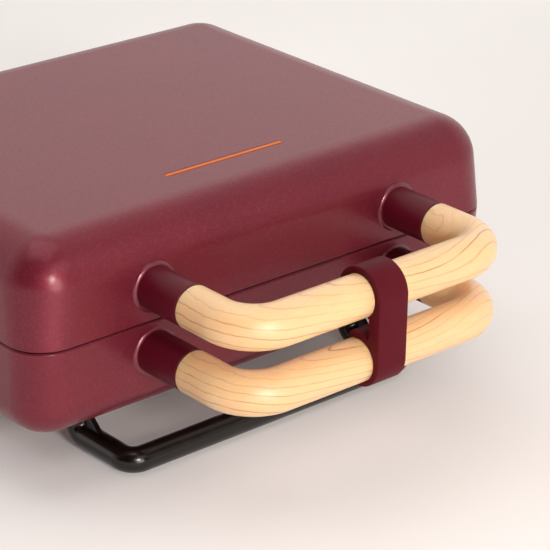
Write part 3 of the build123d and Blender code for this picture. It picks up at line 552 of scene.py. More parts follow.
@dataclass(frozen=True)
class Enamel(GrainedFinish):
    """Dipped and baked enamel on steel tube.

    It flows out smooth, with a faint long wave of about 9 mm, so that its highlights stay small and clear.
    """

    colour: str = "#0F0B09"
    light: str = "#18120E"
    wave: float = 9.0
    roughness: float = 0.19
    smoother: float = 0.03
    rougher: float = 0.06
    strength: float = 0.25
    relief: float = 0.05
    ior: float = 1.5

    def shader(self, tree: Tree) -> Socket:
        """Deep black with a faint wave in its gloss."""
        place = self.millimetres(tree)
        wave = add(tree, "ShaderNodeTexNoise", {"Vector": place, "Scale": 1 / self.wave, "Detail": 1.0})
        base = ramp(tree, wave, [(GRAIN_LOW, self.colour), (0.8, self.light)])
        return self.grained(tree, wave, {"Base Color": base, "IOR": self.ior})


@dataclass(frozen=True)
class Metal(GrainedFinish):
    """Bare or plated metal, such as zinc-plated steel, rolled sheet or a heat-tinted sheath.

    The drawing or rolling leaves fine lines along one axis, 0.1 mm apart, drawn at the given pitch. The
    tarnish changes over 6 mm.
    """

    colour: str
    dark: str
    roughness: float = 0.30
    smoother: float = 0.08
    rougher: float = 0.12
    pitch: float = 0.5
    tarnish: float = 6.0
    stretch: Triple = (1.0, 1.0, 1.0)
    strength: float = 0.3
    relief: float = 0.01

    def shader(self, tree: Tree) -> Socket:
        """Metal colour with drawn lines and uneven gloss."""
        place = self.millimetres(tree)
        along = add(tree, "ShaderNodeMapping", {0: place, 3: self.stretch})
        lines = add(tree, "ShaderNodeTexNoise", {"Vector": along, "Scale": 1 / self.pitch, "Detail": 3.0})
        cloud = add(tree, "ShaderNodeTexNoise", {"Vector": place, "Scale": 1 / self.tarnish, "Detail": 3.0})
        base = ramp(tree, cloud, [(0.35, self.dark), (0.65, self.colour)])
        return self.grained(tree, lines, {"Base Color": base, "Metallic": 1.0})


@dataclass(frozen=True)
class TintedLens(Finish):
    """Clear acrylic with an orange dye over lamps.

    It is painted as lit from within though it is no lamp: it gives a little light of its own, most along a
    core
    0.4 mm wide, and is painted lighter there, deepening to its edges. Its gloss is uneven over 2.5 mm. Its
    index is below acrylic's 1.49, so that the pale room hardly veils the orange.
    """

    colour: str = "#E06C08"
    deep: str = "#8C3400"
    # Strength of the painted light that the lens gives off
    painted_glow: float = 0.17
    centre_y: float = WINDOW_Y
    core: float = 0.2
    half_width: float = 1.5
    speck: float = 2.5
    gloss: Pair = (0.18, 0.32)
    ior: float = 1.2

    def shader(self, tree: Tree) -> Socket:
        """Dyed plastic with painted light of its own, lighter along the middle of the strip."""
        place = self.millimetres(tree)
        across = add(tree, "ShaderNodeSeparateXYZ", {0: place}, output="Y")
        # Painted light: the strip gives off light and is lighter along its middle, deeper to its edges
        offset = add(tree, "ShaderNodeMath", {0: across, 1: self.centre_y}, operation="SUBTRACT")
        far = add(tree, "ShaderNodeMath", {0: offset}, operation="ABSOLUTE")
        share = add(tree, "ShaderNodeMapRange", {0: far, 1: self.core, 2: self.half_width})
        speck = add(tree, "ShaderNodeTexNoise", {"Vector": place, "Scale": 1 / self.speck, "Detail": 2.0})
        colour = ramp(tree, share, [(0.0, self.colour), (1.0, self.deep)])
        low, high = self.gloss
        inputs = {
            "Base Color": colour,
            "Emission Color": colour,
            "Emission Strength": self.painted_glow,
            "Roughness": add(tree, "ShaderNodeMapRange", {0: speck, 3: low, 4: high}),
            "IOR": self.ior,
        }
        return add(tree, "ShaderNodeBsdfPrincipled", inputs)


@dataclass(frozen=True)
class Braid(Finish):
    """Glass-fibre sleeve on a wire: two sets of crossing yarns, 0.8 mm apart, that show as fine lozenges."""

    colour: str = "#DAD6C8"
    # Colour of the painted shade in the weave's dips
    shadow: str = "#98917E"
    pitch: float = 0.8
    slant_deg: float = 35.0
    uneven: float = 0.3
    strength: float = 0.6
    relief: float = 0.08
    roughness: float = 0.75

    def shader(self, tree: Tree) -> Socket:
        """Crossing waves on two slants, with painted shade where they dip."""
        place = self.millimetres(tree)
        scale = WAVE_PERIOD / self.pitch
        heights = []
        for slant in (math.radians(self.slant_deg), -math.radians(self.slant_deg)):
            yarns = add(tree, "ShaderNodeMapping", {0: place, 2: (slant, 0.0, slant)})
            waves = {0: yarns, "Scale": scale, "Distortion": self.uneven}
            heights.append(add(tree, "ShaderNodeTexWave", waves, output="Fac"))
        weave = add(tree, "ShaderNodeMath", dict(enumerate(heights)), operation="MAXIMUM")
        # Painted shade: the weave's dips take the darker colour
        base = ramp(tree, weave, [(0.1, self.shadow), (0.8, self.colour)])
        relief = {"Height": weave, "Strength": self.strength, "Distance": self.relief * MM}
        bump = add(tree, "ShaderNodeBump", relief)
        inputs = {"Base Color": base, "Roughness": self.roughness, "Normal": bump}
        return add(tree, "ShaderNodeBsdfPrincipled", inputs)


@dataclass(frozen=True)
class SheetPaper(Finish):
    """The floor: smooth pale paper on a roll, a little uneven over 300 mm.

    For the camera, gloss and glass it has a little painted light of its own, so that the background stays
    pale at a plain level of the lamps. That painted light is strongest on the left and to the rear, and least
    under the body, so that it paints a shadow there on top of the object's own. Bounds are in millimetres.
    """

    seen: str = "#F7F4F2"
    shade: str = "#F3F0EE"
    bounced: str = "#E6E2E0"
    tooth: float = 300.0
    roughness: float = 0.75
    ior: float = 1.35
    left_glow: float = 0.18
    right_glow: float = 0.06
    glow_x: Pair = (-60.0, 100.0)
    rear_glow: float = 0.12
    glow_y: Pair = (30.0, 300.0)
    # Painted shadow: the share of the floor's painted light that is left under the body
    painted_shadow_share: float = 0.22
    shadow_half: Pair = (90.0, 62.0)
    shadow_reach: float = 30.0

    def clear_of_body(self, tree: Tree, parts: Any) -> Socket:
        """How far a place is outside the box under the body, as a share that ends at the painted shadow's
        reach.

        Args:
            tree: The node tree that takes the nodes.
            parts: The place's sockets by the axes' names.

        Returns:
            The share's socket.
        """
        clear = []
        for part, centre, half in (("X", 0.0, self.shadow_half[0]), ("Y", BODY_Y, self.shadow_half[1])):
            offset = add(tree, "ShaderNodeMath", {0: parts[part], 1: centre}, operation="SUBTRACT")
            far = add(tree, "ShaderNodeMath", {0: offset}, operation="ABSOLUTE")
            beyond = add(tree, "ShaderNodeMath", {0: far, 1: half}, operation="SUBTRACT")
            clear.append(add(tree, "ShaderNodeMath", {0: beyond, 1: 0.0}, operation="MAXIMUM"))
        reach = add(tree, "ShaderNodeCombineXYZ", dict(enumerate(clear)))
        gap = add(tree, "ShaderNodeVectorMath", {0: reach}, output="Value", operation="LENGTH")
        opening = {0: gap, 1: 0.0, 2: self.shadow_reach, 3: self.painted_shadow_share}
        return add(tree, "ShaderNodeMapRange", opening, interpolation_type="SMOOTHSTEP")

    def shader(self, tree: Tree) -> Socket:
        """Plain pale paper, lighter for the camera and for gloss and glass than for the light it throws."""
        place = self.millimetres(tree)
        tooth = add(tree, "ShaderNodeTexNoise", {"Vector": place, "Scale": 1 / self.tooth, "Detail": 2.0})
        white = ramp(tree, tooth, [(0.2, self.shade), (0.8, self.seen)])
        path = add(tree, "ShaderNodeLightPath").node.outputs
        sharp = add(tree, "ShaderNodeMath", {0: path["Is Glossy Ray"], 1: path["Is Transmission Ray"]})
        view = add(tree, "ShaderNodeMath", {0: path["Is Camera Ray"], 1: sharp}, use_clamp=True)
        mixed = {0: view, 6: linear(self.bounced), 7: white}
        base = add(tree, "ShaderNodeMix", mixed, output=2, data_type="RGBA")
        parts = add(tree, "ShaderNodeSeparateXYZ", {0: place}).node.outputs
        (left, right), (front, rear) = self.glow_x, self.glow_y
        # Painted light on the floor: more on the left and to the rear
        sides = {0: parts["X"], 1: left, 2: right, 3: self.left_glow, 4: self.right_glow}
        side = add(tree, "ShaderNodeMapRange", sides)
        behind = add(tree, "ShaderNodeMapRange", {0: parts["Y"], 1: front, 2: rear, 4: self.rear_glow})
        painted_glow = add(tree, "ShaderNodeMath", {0: side, 1: behind}, operation="ADD")
        # Painted shadow: the floor's own light falls away under the body
        for factor in (view, self.clear_of_body(tree, parts)):
            painted_glow = add(tree, "ShaderNodeMath", {0: painted_glow, 1: factor}, operation="MULTIPLY")
        inputs = {
            "Base Color": base,
            "Roughness": self.roughness,
            "IOR": self.ior,
            "Emission Color": white,
            "Emission Strength": painted_glow,
        }
        return add(tree, "ShaderNodeBsdfPrincipled", inputs)


PAINT = SatinPaint("satin_burgundy_paint")
# Rims: a fuller, glossier coat, and colours a little paler and pinker than the shell's as a painted highlight
RIM_PAINT_PALE_FOR_HIGHLIGHT = SatinPaint(
    "burgundy_rim_lacquer_with_painted_highlight", "#782A38", "#90444E", "#722634", roughness=0.38, relief=0.015, coat=1.0
)
# Both have an index below the real 1.5, because these parts hardly mirror the room in the photograph
TRIM = MouldedPlastic("burgundy_moulded_nylon", "#560D1B", "#5C101E", roughness=0.55, ior=1.22)
TUBE_PAINT = MouldedPlastic(
    "burgundy_enamel_on_steel_tube", "#5A0A1D", "#600D21", roughness=0.40, relief=0.006, ior=1.32
)
UPPER_ASH = OiledAsh("oiled_ash_upper", heart=(64.0, -112.0, 95.5))
LOWER_ASH = OiledAsh("oiled_ash_lower", heart=(66.0, -113.0, 66.0), climb=0.22, level_off=0.0003, rings=8.0)
BLACK_ENAMEL = Enamel("black_stove_enamel")
BLACK_NYLON = MouldedPlastic("black_glass_filled_nylon", "#171718", "#202021", roughness=0.52, relief=0.03)
COATED_CASTING = MouldedPlastic(
    "non_stick_coating_on_cast_aluminium", "#2A2A2C", "#37373A", roughness=0.45, pebble=0.9, relief=0.03
)
ZINC_PLATE = Metal("zinc_plated_steel", "#C9CACC", "#A9ABAE", roughness=0.28)
HEATER_SHEATH = Metal("heat_tinted_steel_sheath", "#7C7166", "#4E4A4C", roughness=0.40)
ROLLED_ALUMINIUM = Metal(
    "rolled_aluminium_sheet", "#D2D3D6", "#BCBEC2", roughness=0.30, pitch=0.6, stretch=(0.04, 1.0, 1.0)
)
ORANGE_LENS = TintedLens("orange_acrylic_lens")
LAMP_RESIN = MouldedPlastic("diffused_lamp_resin", "#E8824A", "#F29A5C", roughness=0.25, relief=0.002)
BOARD_LAMINATE = MouldedPlastic("green_glass_laminate", "#1E4A2C", "#2A5C38", roughness=0.35, relief=0.01)
STEATITE = MouldedPlastic("unglazed_steatite", "#DED9CC", "#EAE6DC", roughness=0.70, relief=0.04)
GLASS_BRAID = Braid("glass_fibre_braid")
RUBBER = MouldedPlastic("black_silicone_rubber", "#151515", "#1D1D1D", roughness=0.62, relief=0.03)

FINISH_OF_SLOT: dict[str, Finish] = {
    "burgundy_shell": PAINT,
    "burgundy_trim": TRIM,
    "pale_wood": UPPER_ASH,
    "black_frame": BLACK_ENAMEL,
    "black_plastic": BLACK_NYLON,
    "coated_plate": COATED_CASTING,
    "steel": ZINC_PLATE,
    "heater_sheath": HEATER_SHEATH,
    "tray_sheet": ROLLED_ALUMINIUM,
    "orange_lens": ORANGE_LENS,
    "lamp": LAMP_RESIN,
    "board": BOARD_LAMINATE,
    "ceramic_block": STEATITE,
    "wire_sleeve": GLASS_BRAID,
    "lead_sleeve": RUBBER,
    "foot_rubber": RUBBER,
}


# Grids and pieces


def skin(points: np.ndarray) -> Surface:
    """The surface through a grid of points whose last column joins its first.

    Args:
        points: The points by row and column, in millimetres.

    Returns:
        The points in one list, and the quads by index arithmetic on whole rows and columns.
    """
    rows, columns = points.shape[:2]
    row, column = np.meshgrid(np.arange(rows - 1), np.arange(columns), indexing="ij")
    after = (column + 1) % columns
    near, far = row * columns, (row + 1) * columns
    quads = np.stack([near + column, near + after, far + after, far + column], -1)
    return Surface(points.reshape(-1, 3), quads.reshape(-1, 4))


def carried(
    path: np.ndarray, left: np.ndarray, up: np.ndarray, radii: np.ndarray, around: int, closed: bool = False
) -> Surface:
    """A round tube carried along a path: point = path + radius (cos a left + sin a up).

    Args:
        path: Centre points, one for each row.
        left: The direction across the path at each centre point.
        up: The other direction across the path.
        radii: The tube's radius at each centre point.
        around: Points round the tube.
        closed: Whether each end gets a flat cap.

    Returns:
        The tube as a surface.
    """
    if closed:
        path, left, up = (np.concatenate([a[:1], a, a[-1:]]) for a in (path, left, up))
        radii = np.concatenate([[0.0], radii, [0.0]])
    turn = np.linspace(0.0, 2 * np.pi, around, endpoint=False)
    spokes = np.cos(turn)[None, :, None] * left[:, None, :] + np.sin(turn)[None, :, None] * up[:, None, :]
    return skin(path[:, None, :] + radii[:, None, None] * spokes)


def turned(profile: np.ndarray, seat: Seat, around: int) -> Surface:
    """A profile turned about a seat's axis: each row has its height along the axis and its radius.

    Args:
        profile: Rows of height and radius. A radius of zero at either end closes it.
        seat: The axis.
        around: Points round the axis.

    Returns:
        The turned surface.
    """
    across, beside, axis = seat.basis()
    path = np.array(seat.point) + profile[:, :1] * axis
    rows = len(profile)
    return carried(path, np.tile(across, (rows, 1)), np.tile(beside, (rows, 1)), profile[:, 1], around)


def quarter(centre: Pair, radius: float, start: float, end: float, steps: int = 6) -> np.ndarray:
    """Points on an arc in a plane: centre + radius (cos, sin).

    Args:
        centre: The arc's centre.
        radius: Its radius.
        start: The angle of its first point, in degrees.
        end: The angle of its last point, in degrees.
        steps: Steps between them.

    Returns:
        One row for each point.
    """
    angle = np.radians(np.linspace(start, end, steps + 1))
    return np.stack([centre[0] + radius * np.cos(angle), centre[1] + radius * np.sin(angle)], -1)


def link(name: str, data: bpy.types.ID) -> bpy.types.Object:
    """Links a mesh, a lamp or a camera to the scene as an object."""
    made = bpy.data.objects.new(name, data)
    bpy.context.scene.collection.objects.link(made)
    return made


def add_piece(
    name: str,
    surfaces: Sequence[Surface],
    finish: Finish,
    body: Body | None,
    stands_for: Sequence[str] = (),
    caps: Sequence[Sequence[int]] = (),
    sharp_deg: float = 35.0,
) -> bpy.types.Object:
    """Makes one piece of the object from grid surfaces and sets it on its body.

    Args:
        name: The piece's name.
        surfaces: Its surfaces, in millimetres.
        finish: What it is finished with.
        body: The body that it rides on, or none for a piece that is set on neither.
        stands_for: The CAD nodes that it replaces.
        caps: Flat faces that close it, as point numbers of its first surface.
        sharp_deg: Edges that turn by more than this stay sharp.

    Returns:
        The new object.
    """
    starts = np.cumsum([0] + [len(s.points) for s in surfaces[:-1]])
    points = np.concatenate([s.points for s in surfaces]) * MM
    faces = [tuple(q) for s, start in zip(surfaces, starts) for q in (s.quads + start).tolist()]
    mesh = bpy.data.meshes.new(name)
    mesh.from_pydata(points.tolist(), [], faces + [tuple(c) for c in caps])
    work = bmesh.new()
    work.from_mesh(mesh)
    bmesh.ops.remove_doubles(work, verts=work.verts, dist=WELD)
    bmesh.ops.dissolve_degenerate(work, edges=work.edges, dist=SLIVER)
    bmesh.ops.recalc_face_normals(work, faces=work.faces)
    work.to_mesh(mesh)
    work.free()
    mesh.shade_smooth()
    mesh.set_sharp_from_angle(angle=math.radians(sharp_deg))
    mesh.materials.append(finish.material())
    made = link(name, mesh)
    if body is not None:
        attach(made, body.value)
    if stands_for:
        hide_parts(*stands_for)
    log.info("%s: %d faces, on %s", name, len(mesh.polygons), body.value if body else "two bodies")
    return made


@dataclass
class Grip:
    """One U-shaped wooden handle: a round rod with two bends and eased ends."""

    name: str
    node: str
    body: Body
    bar_z: float
    finish: Finish
    bend: float = 18.5
    ease: float = 0.5
    ease_points: int = 7
    around: int = 96
    leg_steps: int = 40
    bend_steps: int = 40
    bar_steps: int = 70

    def centreline(self) -> tuple[np.ndarray, np.ndarray, np.ndarray]:
        """The rod's route: a leg, a quarter turn, the bar, a quarter turn and a leg.

        Returns:
            Points, headings in radians, and distances along the route.
        """
        reach = BAR_Y + self.bend
        leg = JOINT_Y - reach
        eased = self.ease * (1 - np.cos(np.linspace(0.0, np.pi / 2, self.ease_points)))
        down = np.concatenate([eased, np.linspace(self.ease, leg, self.leg_steps)[1:]])
        turn = np.linspace(0.0, np.pi / 2, self.bend_steps)[1:]
        half_bar = LEG_X - self.bend
        along = np.linspace(-half_bar, half_bar, self.bar_steps)[1:-1]
        x = np.concatenate([np.full(len(down), -LEG_X), -half_bar - self.bend * np.cos(turn), along])
        y = np.concatenate([JOINT_Y - down, reach - self.bend * np.sin(turn), np.full(len(along), BAR_Y)])
        heading = np.concatenate([np.full(len(down), -np.pi / 2), turn - np.pi / 2, np.zeros(len(along))])
        mirror_rows = len(down) + len(turn)
        x = np.concatenate([x, -x[:mirror_rows][::-1]])
        y = np.concatenate([y, y[:mirror_rows][::-1]])
        heading = np.concatenate([heading, -heading[:mirror_rows][::-1]])
        points = np.stack([x, y, np.full(len(x), self.bar_z)], -1)
        steps = np.linalg.norm(np.diff(points, axis=0), axis=1)
        return points, heading, np.concatenate([[0.0], np.cumsum(steps)])

    def surface(self) -> Surface:
        """The rod, with its ends eased by r = R - e + sqrt(e^2 - (e - d)^2) and closed."""
        points, heading, distance = self.centreline()
        from_end = np.minimum(np.minimum(distance, distance[-1] - distance), self.ease)
        radii = GRIP_RADIUS - self.ease + np.sqrt(self.ease**2 - (self.ease - from_end) ** 2)
        left = np.stack([-np.sin(heading), np.cos(heading), np.zeros(len(heading))], -1)
        up = np.tile([0.0, 0.0, 1.0], (len(heading), 1))
        return carried(points, left, up, radii, self.around, closed=True)

    def build(self) -> None:
        """Adds the handle in place of its plain rod."""
        add_piece(self.name, [self.surface()], self.finish, self.body, [self.node])


@dataclass
class HandleMounts:
    """The ring and the ferrule at each foot of one handle."""

    half: str
    body: Body
    bar_z: float
    ring_radius: float = 12.0
    ring_slope: float = 62.0
    ring_steps: int = 14
    clearance: float = 0.1
    gap: float = 0.35
    ease: float = 0.45
    sunk: float = 2.0
    socket: float = 6.5
    around: int = 96

    def seats(self) -> list[Seat]:
        """The axis of each leg, measured forwards from the shell's front wall."""
        return [Seat((side.value * LEG_X, FRONT_WALL_Y, self.bar_z), (0.0, -1.0, 0.0)) for side in Side]

    def ring(self, seat: Seat) -> Surface:
        """A low round rim that leaves the wall at an angle and ends close to the ferrule.

        Args:
            seat: The leg's axis.

        Returns:
            The rim, closed inside the wall.
        """
        inner = GRIP_RADIUS + self.clearance
        steep = math.radians(self.ring_slope)
        radius = (self.ring_radius - inner) / math.sin(steep)
        centre = (-radius * math.cos(steep), inner)
        shoulder = quarter(centre, radius, self.ring_slope, 0.0, self.ring_steps)
        hidden = [[-self.sunk, inner], [-self.sunk, self.ring_radius]]
        profile = np.concatenate([hidden, shoulder, [[-self.sunk, inner]]])
        return turned(profile, seat, self.around)

    def ferrule(self, seat: Seat) -> Surface:
        """A tube from inside the wall to just short of the wood, with an eased mouth.

        Args:
            seat: The leg's axis.

        Returns:
            The tube with its bore.
        """
        end = FRONT_WALL_Y - JOINT_Y - self.gap
        mouth = quarter((end - self.ease, GRIP_RADIUS - self.ease), self.ease, 90.0, 0.0)
        root = [[-self.sunk, self.socket], [-self.sunk, GRIP_RADIUS]]
        bore = [[end, self.socket], [-self.sunk, self.socket]]
        return turned(np.concatenate([root, mouth, bore]), seat, self.around)

    def build(self) -> None:
        """Adds the two rings and the two ferrules of one handle."""
        rings = [self.ring(seat) for seat in self.seats()]
        tubes = [self.ferrule(seat) for seat in self.seats()]
        rims, ferrules = f"{self.half}_handle_rims", f"{self.half}_handle_ferrules"
        add_piece(rims, rings, RIM_PAINT_PALE_FOR_HIGHLIGHT, self.body, [f"{self.half}_collars"])
        add_piece(ferrules, tubes, TUBE_PAINT, self.body, [f"{self.half}_ferrules"])


@dataclass
class RimTongue:
    """The step on the base's rim that fills most of the seam, so that it shows as a thin dark line."""

    width: float = 275.0
    depth: float = 220.0
    corner: float = 18.5
    inset: float = 0.45
    thickness: float = 1.3
    low: float = -2.0
    high: float = -0.15
    ease: float = 0.2
    corner_steps: int = 16

    def loop(self, inset: float, height: float) -> np.ndarray:
        """The rim's outline.

        Args:
            inset: How far it is set inwards.
            height: Its height above the seam.

        Returns:
            One row for each point.
        """
        radius = self.corner - inset
        x, y = self.width / 2 - self.corner, self.depth / 2 - self.corner
        turns = (((x, y), 0.0), ((-x, y), 90.0), ((-x, -y), 180.0), ((x, -y), 270.0))
        arcs = [quarter(centre, radius, at, at + 90.0, self.corner_steps) for centre, at in turns]
        flat = np.concatenate(arcs)
        return np.column_stack([flat[:, 0], flat[:, 1] + BODY_Y, np.full(len(flat), SEAM_Z + height)])

    def surface(self) -> Surface:
        """The section carried round the rim, with its upper edges eased."""
        far = self.inset + self.thickness
        section = [
            (self.inset, self.low),
            (self.inset, self.high - self.ease),
            (self.inset + self.ease, self.high),
            (far - self.ease, self.high),
            (far, self.high - self.ease),
            (far, self.low),
            (self.inset, self.low),
        ]
        return skin(np.stack([self.loop(inset, height) for inset, height in section]))

    def build(self) -> None:
        """Adds the step to the base."""
        add_piece("base_rim_tongue", [self.surface()], PAINT, Body.BASE)


@dataclass
class LensCrown:
    """The window's slightly raised top, which fills its slot to the lid's surface.

    The dome is given by how far its rings are set in from the slot and how high they are above the pane.
    """

    half_straight: float = 32.7
    radius: float = 1.78
    steps: int = 24
    dome: tuple[Pair, ...] = ((0.0, 0.22), (0.08, 0.32), (0.3, 0.39), (0.9, 0.44))
    top: float = 0.46

    def loop(self, inset: float, height: float) -> np.ndarray:
        """The slot's outline.

        Args:
            inset: How far it is set inwards.
            height: Its height above the table.

        Returns:
            One row for each point.
        """
        radius = self.radius - inset
        right = quarter((self.half_straight, WINDOW_Y), radius, -90.0, 90.0, self.steps)
        left = quarter((-self.half_straight, WINDOW_Y), radius, 90.0, 270.0, self.steps)
        flat = np.concatenate([right, left])
        return np.column_stack([flat, np.full(len(flat), height)])

    def build(self) -> None:
        """Adds the crown on the pane: flat below, upright at its edge and domed on top."""
        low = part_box("indicator_lens")[1][2] / MM
        section = [(self.radius, 0.0), (0.0, 0.0), *self.dome, (self.radius, self.top)]
        surface = skin(np.stack([self.loop(inset, low + rise) for inset, rise in section]))
        add_piece("indicator_lens_crown", [surface], ORANGE_LENS, Body.LID)


@dataclass
class FootStrips:
    """The rubber strips under the foot frames, narrower than the tube and rounded below."""

    length: float = 30.0
    half_width: float = 1.7
    height: float = 1.9
    round_by: float = 1.1
    spacing: float = 60.0
    pad_half_width: float = 3.0

    def surface(self, x: float, y: float) -> Surface:
        """One strip: a flat-topped section with round lower edges, drawn along the tube and closed.

        Args:
            x: The middle of the strip, across the object.
            y: The middle of the strip, from front to rear.

        Returns:
            The strip, standing on the table.
        """
        flank = quarter((self.half_width - self.round_by, self.round_by), self.round_by, 0.0, -90.0)
        right = np.concatenate([[[self.half_width, self.height]], flank])
        section = np.concatenate([right, right[::-1] * (-1.0, 1.0)])
        middle = np.tile([[0.0, self.height / 2]], (len(section), 1))
        rows = [(-1, middle), (-1, section), (1, section), (1, middle)]
        points = [
            np.column_stack([np.full(len(flat), x + end * self.length / 2), y + flat[:, 0], flat[:, 1]])
            for end, flat in rows
        ]
        return skin(np.stack(points))

    def build(self) -> None:
        """Adds the four strips in place of the plain pads."""
        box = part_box("foot_pads")
        reach = (box[1][1] - box[0][1]) / MM / 2 - self.pad_half_width
        strips = [self.surface(x * self.spacing, BODY_Y + y * reach) for x, y in CORNERS]
        add_piece("foot_strips", strips, RUBBER, Body.BASE, ["foot_pads"])


@dataclass
class LatchClip:
    """The burgundy clip: a hook over the upper bar, a flat web, and a mouth that hugs the lower bar."""

    centre_x: float = -1.2
    width: float = 17.0
    outer: float = 13.3
    bush: float = 11.1
    seat: float = 10.25
    web: float = 6.8
    drop: float = UPPER_BAR_Z - LOWER_BAR_Z
    hook_tip_deg: float = -15.0
    lip_top_deg: float = 62.0
    lip_bottom_deg: float = 276.0
    lip_outer: float = 12.0
    ease: float = 0.5
    ease_steps: int = 5
    wrap_steps: int = 60
    bush_steps: int = 70
    foot_steps: int = 30
    lip_steps: int = 12
    tip_steps: int = 10
    front_points: int = 8
    back_points: int = 6

    @staticmethod
    def lean(inner: float, outer: float) -> float:
        """The angle in degrees between a half-round tip's middle and its end, in a ring sector."""
        return math.degrees(math.asin((outer - inner) / (outer + inner)))

    def tip(self, inner: float, outer: float, at_deg: float, turn: float, low: bool) -> np.ndarray:
        """A half-round tip of a ring sector, from its inner to its outer edge or back.

        Args:
            inner: The sector's inner radius.
            outer: The sector's outer radius.
            at_deg: The angle where the sector ends.
            turn: One if the sector lies at greater angles than its end, minus one if at smaller.
            low: Whether the sector belongs to the lower mouth.

        Returns:
            Points in the section plane.
        """
        half = (outer - inner) / 2
        middle = inner + half
        angle = math.radians(at_deg + turn * self.lean(inner, outer))
        centre = (middle * math.cos(angle), middle * math.sin(angle) - (self.drop if low else 0.0))
        start = math.degrees(angle)
        return quarter(centre, half, start + 180.0, start + 180.0 + turn * 180.0, self.tip_steps)

    def outline(self) -> np.ndarray:
        """The clip's section, walked once round: over the hook, down the front, round the mouth and back."""
        low = (0.0, -self.drop)
        rear = self.web - self.outer
        meet_low = math.degrees(math.acos(rear / self.outer))
        meet_bush = 360.0 - math.degrees(math.acos(rear / self.bush))
        hook_start = self.hook_tip_deg + self.lean(self.bush, self.outer)
        lip_start = self.lip_top_deg + self.lean(self.seat, self.outer)
        lip_end = self.lip_bottom_deg - self.lean(self.seat, self.lip_outer)
        over = quarter((0.0, 0.0), self.outer, hook_start, 180.0, self.wrap_steps)
        under = quarter((0.0, 0.0), 1.0, 180.0, lip_end, self.foot_steps)
        under = np.array(low) + under * np.linspace(self.outer, self.lip_outer, len(under))[:, None]
        mouth = quarter(low, self.seat, lip_end, lip_start, self.wrap_steps)
        lip_back = quarter(low, self.outer, lip_start, meet_low, self.lip_steps)
        inside = quarter((0.0, 0.0), self.bush, meet_bush, hook_start, self.bush_steps)
        down = np.linspace(0.0, -self.drop, self.front_points + 2)[1:-1]
        front = np.stack([np.full(self.front_points, -self.outer), down], -1)
        rise = np.linspace(lip_back[-1][1], inside[0][1], self.back_points + 2)[1:-1]
        back = np.stack([np.full(self.back_points, rear), rise], -1)
        lower_tip = self.tip(self.seat, self.lip_outer, self.lip_bottom_deg, -1.0, True)[::-1]
        upper_tip = self.tip(self.seat, self.outer, self.lip_top_deg, 1.0, True)
        hook_tip = self.tip(self.bush, self.outer, self.hook_tip_deg, 1.0, False)
        foot = [over, front, under, lower_tip[1:-1], mouth, upper_tip[1:-1]]
        return np.concatenate([*foot, lip_back, back, inside, hook_tip[1:-1]])

    def surface(self) -> tuple[Surface, list[list[int]]]:
        """The section drawn out across the clip, its two edges eased by a quarter round.

        Returns:
            The surface and its two flat caps.
        """
        line = self.outline()
        ahead = np.roll(line, -1, axis=0) - line
        behind = line - np.roll(line, 1, axis=0)
        run = sum(step / np.linalg.norm(step, axis=1, keepdims=True) for step in (ahead, behind))
        run /= np.linalg.norm(run, axis=1, keepdims=True)
        inward = np.stack([-run[:, 1], run[:, 0]], -1)
        angle = np.linspace(0.0, np.pi / 2, self.ease_steps + 1)
        inset = self.ease * (1 - np.sin(angle))
        depth = self.ease * (1 - np.cos(angle))
        inset = np.concatenate([inset, inset[::-1]])
        place = np.concatenate([depth - self.width / 2, self.width / 2 - depth[::-1]])
        section = line[None] + inset[:, None, None] * inward[None]
        x = np.broadcast_to((self.centre_x + place)[:, None, None], section.shape[:2] + (1,))
        points = np.concatenate([x, section + np.array([BAR_Y, UPPER_BAR_Z])], -1)
        rows, columns = section.shape[:2]
        caps = [list(range(columns)), list(range((rows - 1) * columns, rows * columns))]
        return skin(points), caps

    def build(self) -> None:
        """Adds the clip in one piece with its two lips."""
        surface, caps = self.surface()
        stands_for = ["latch_clip", "clip_lips"]
        add_piece("clip_shell", [surface], TRIM, Body.CLIP, stands_for, caps, 40.0)


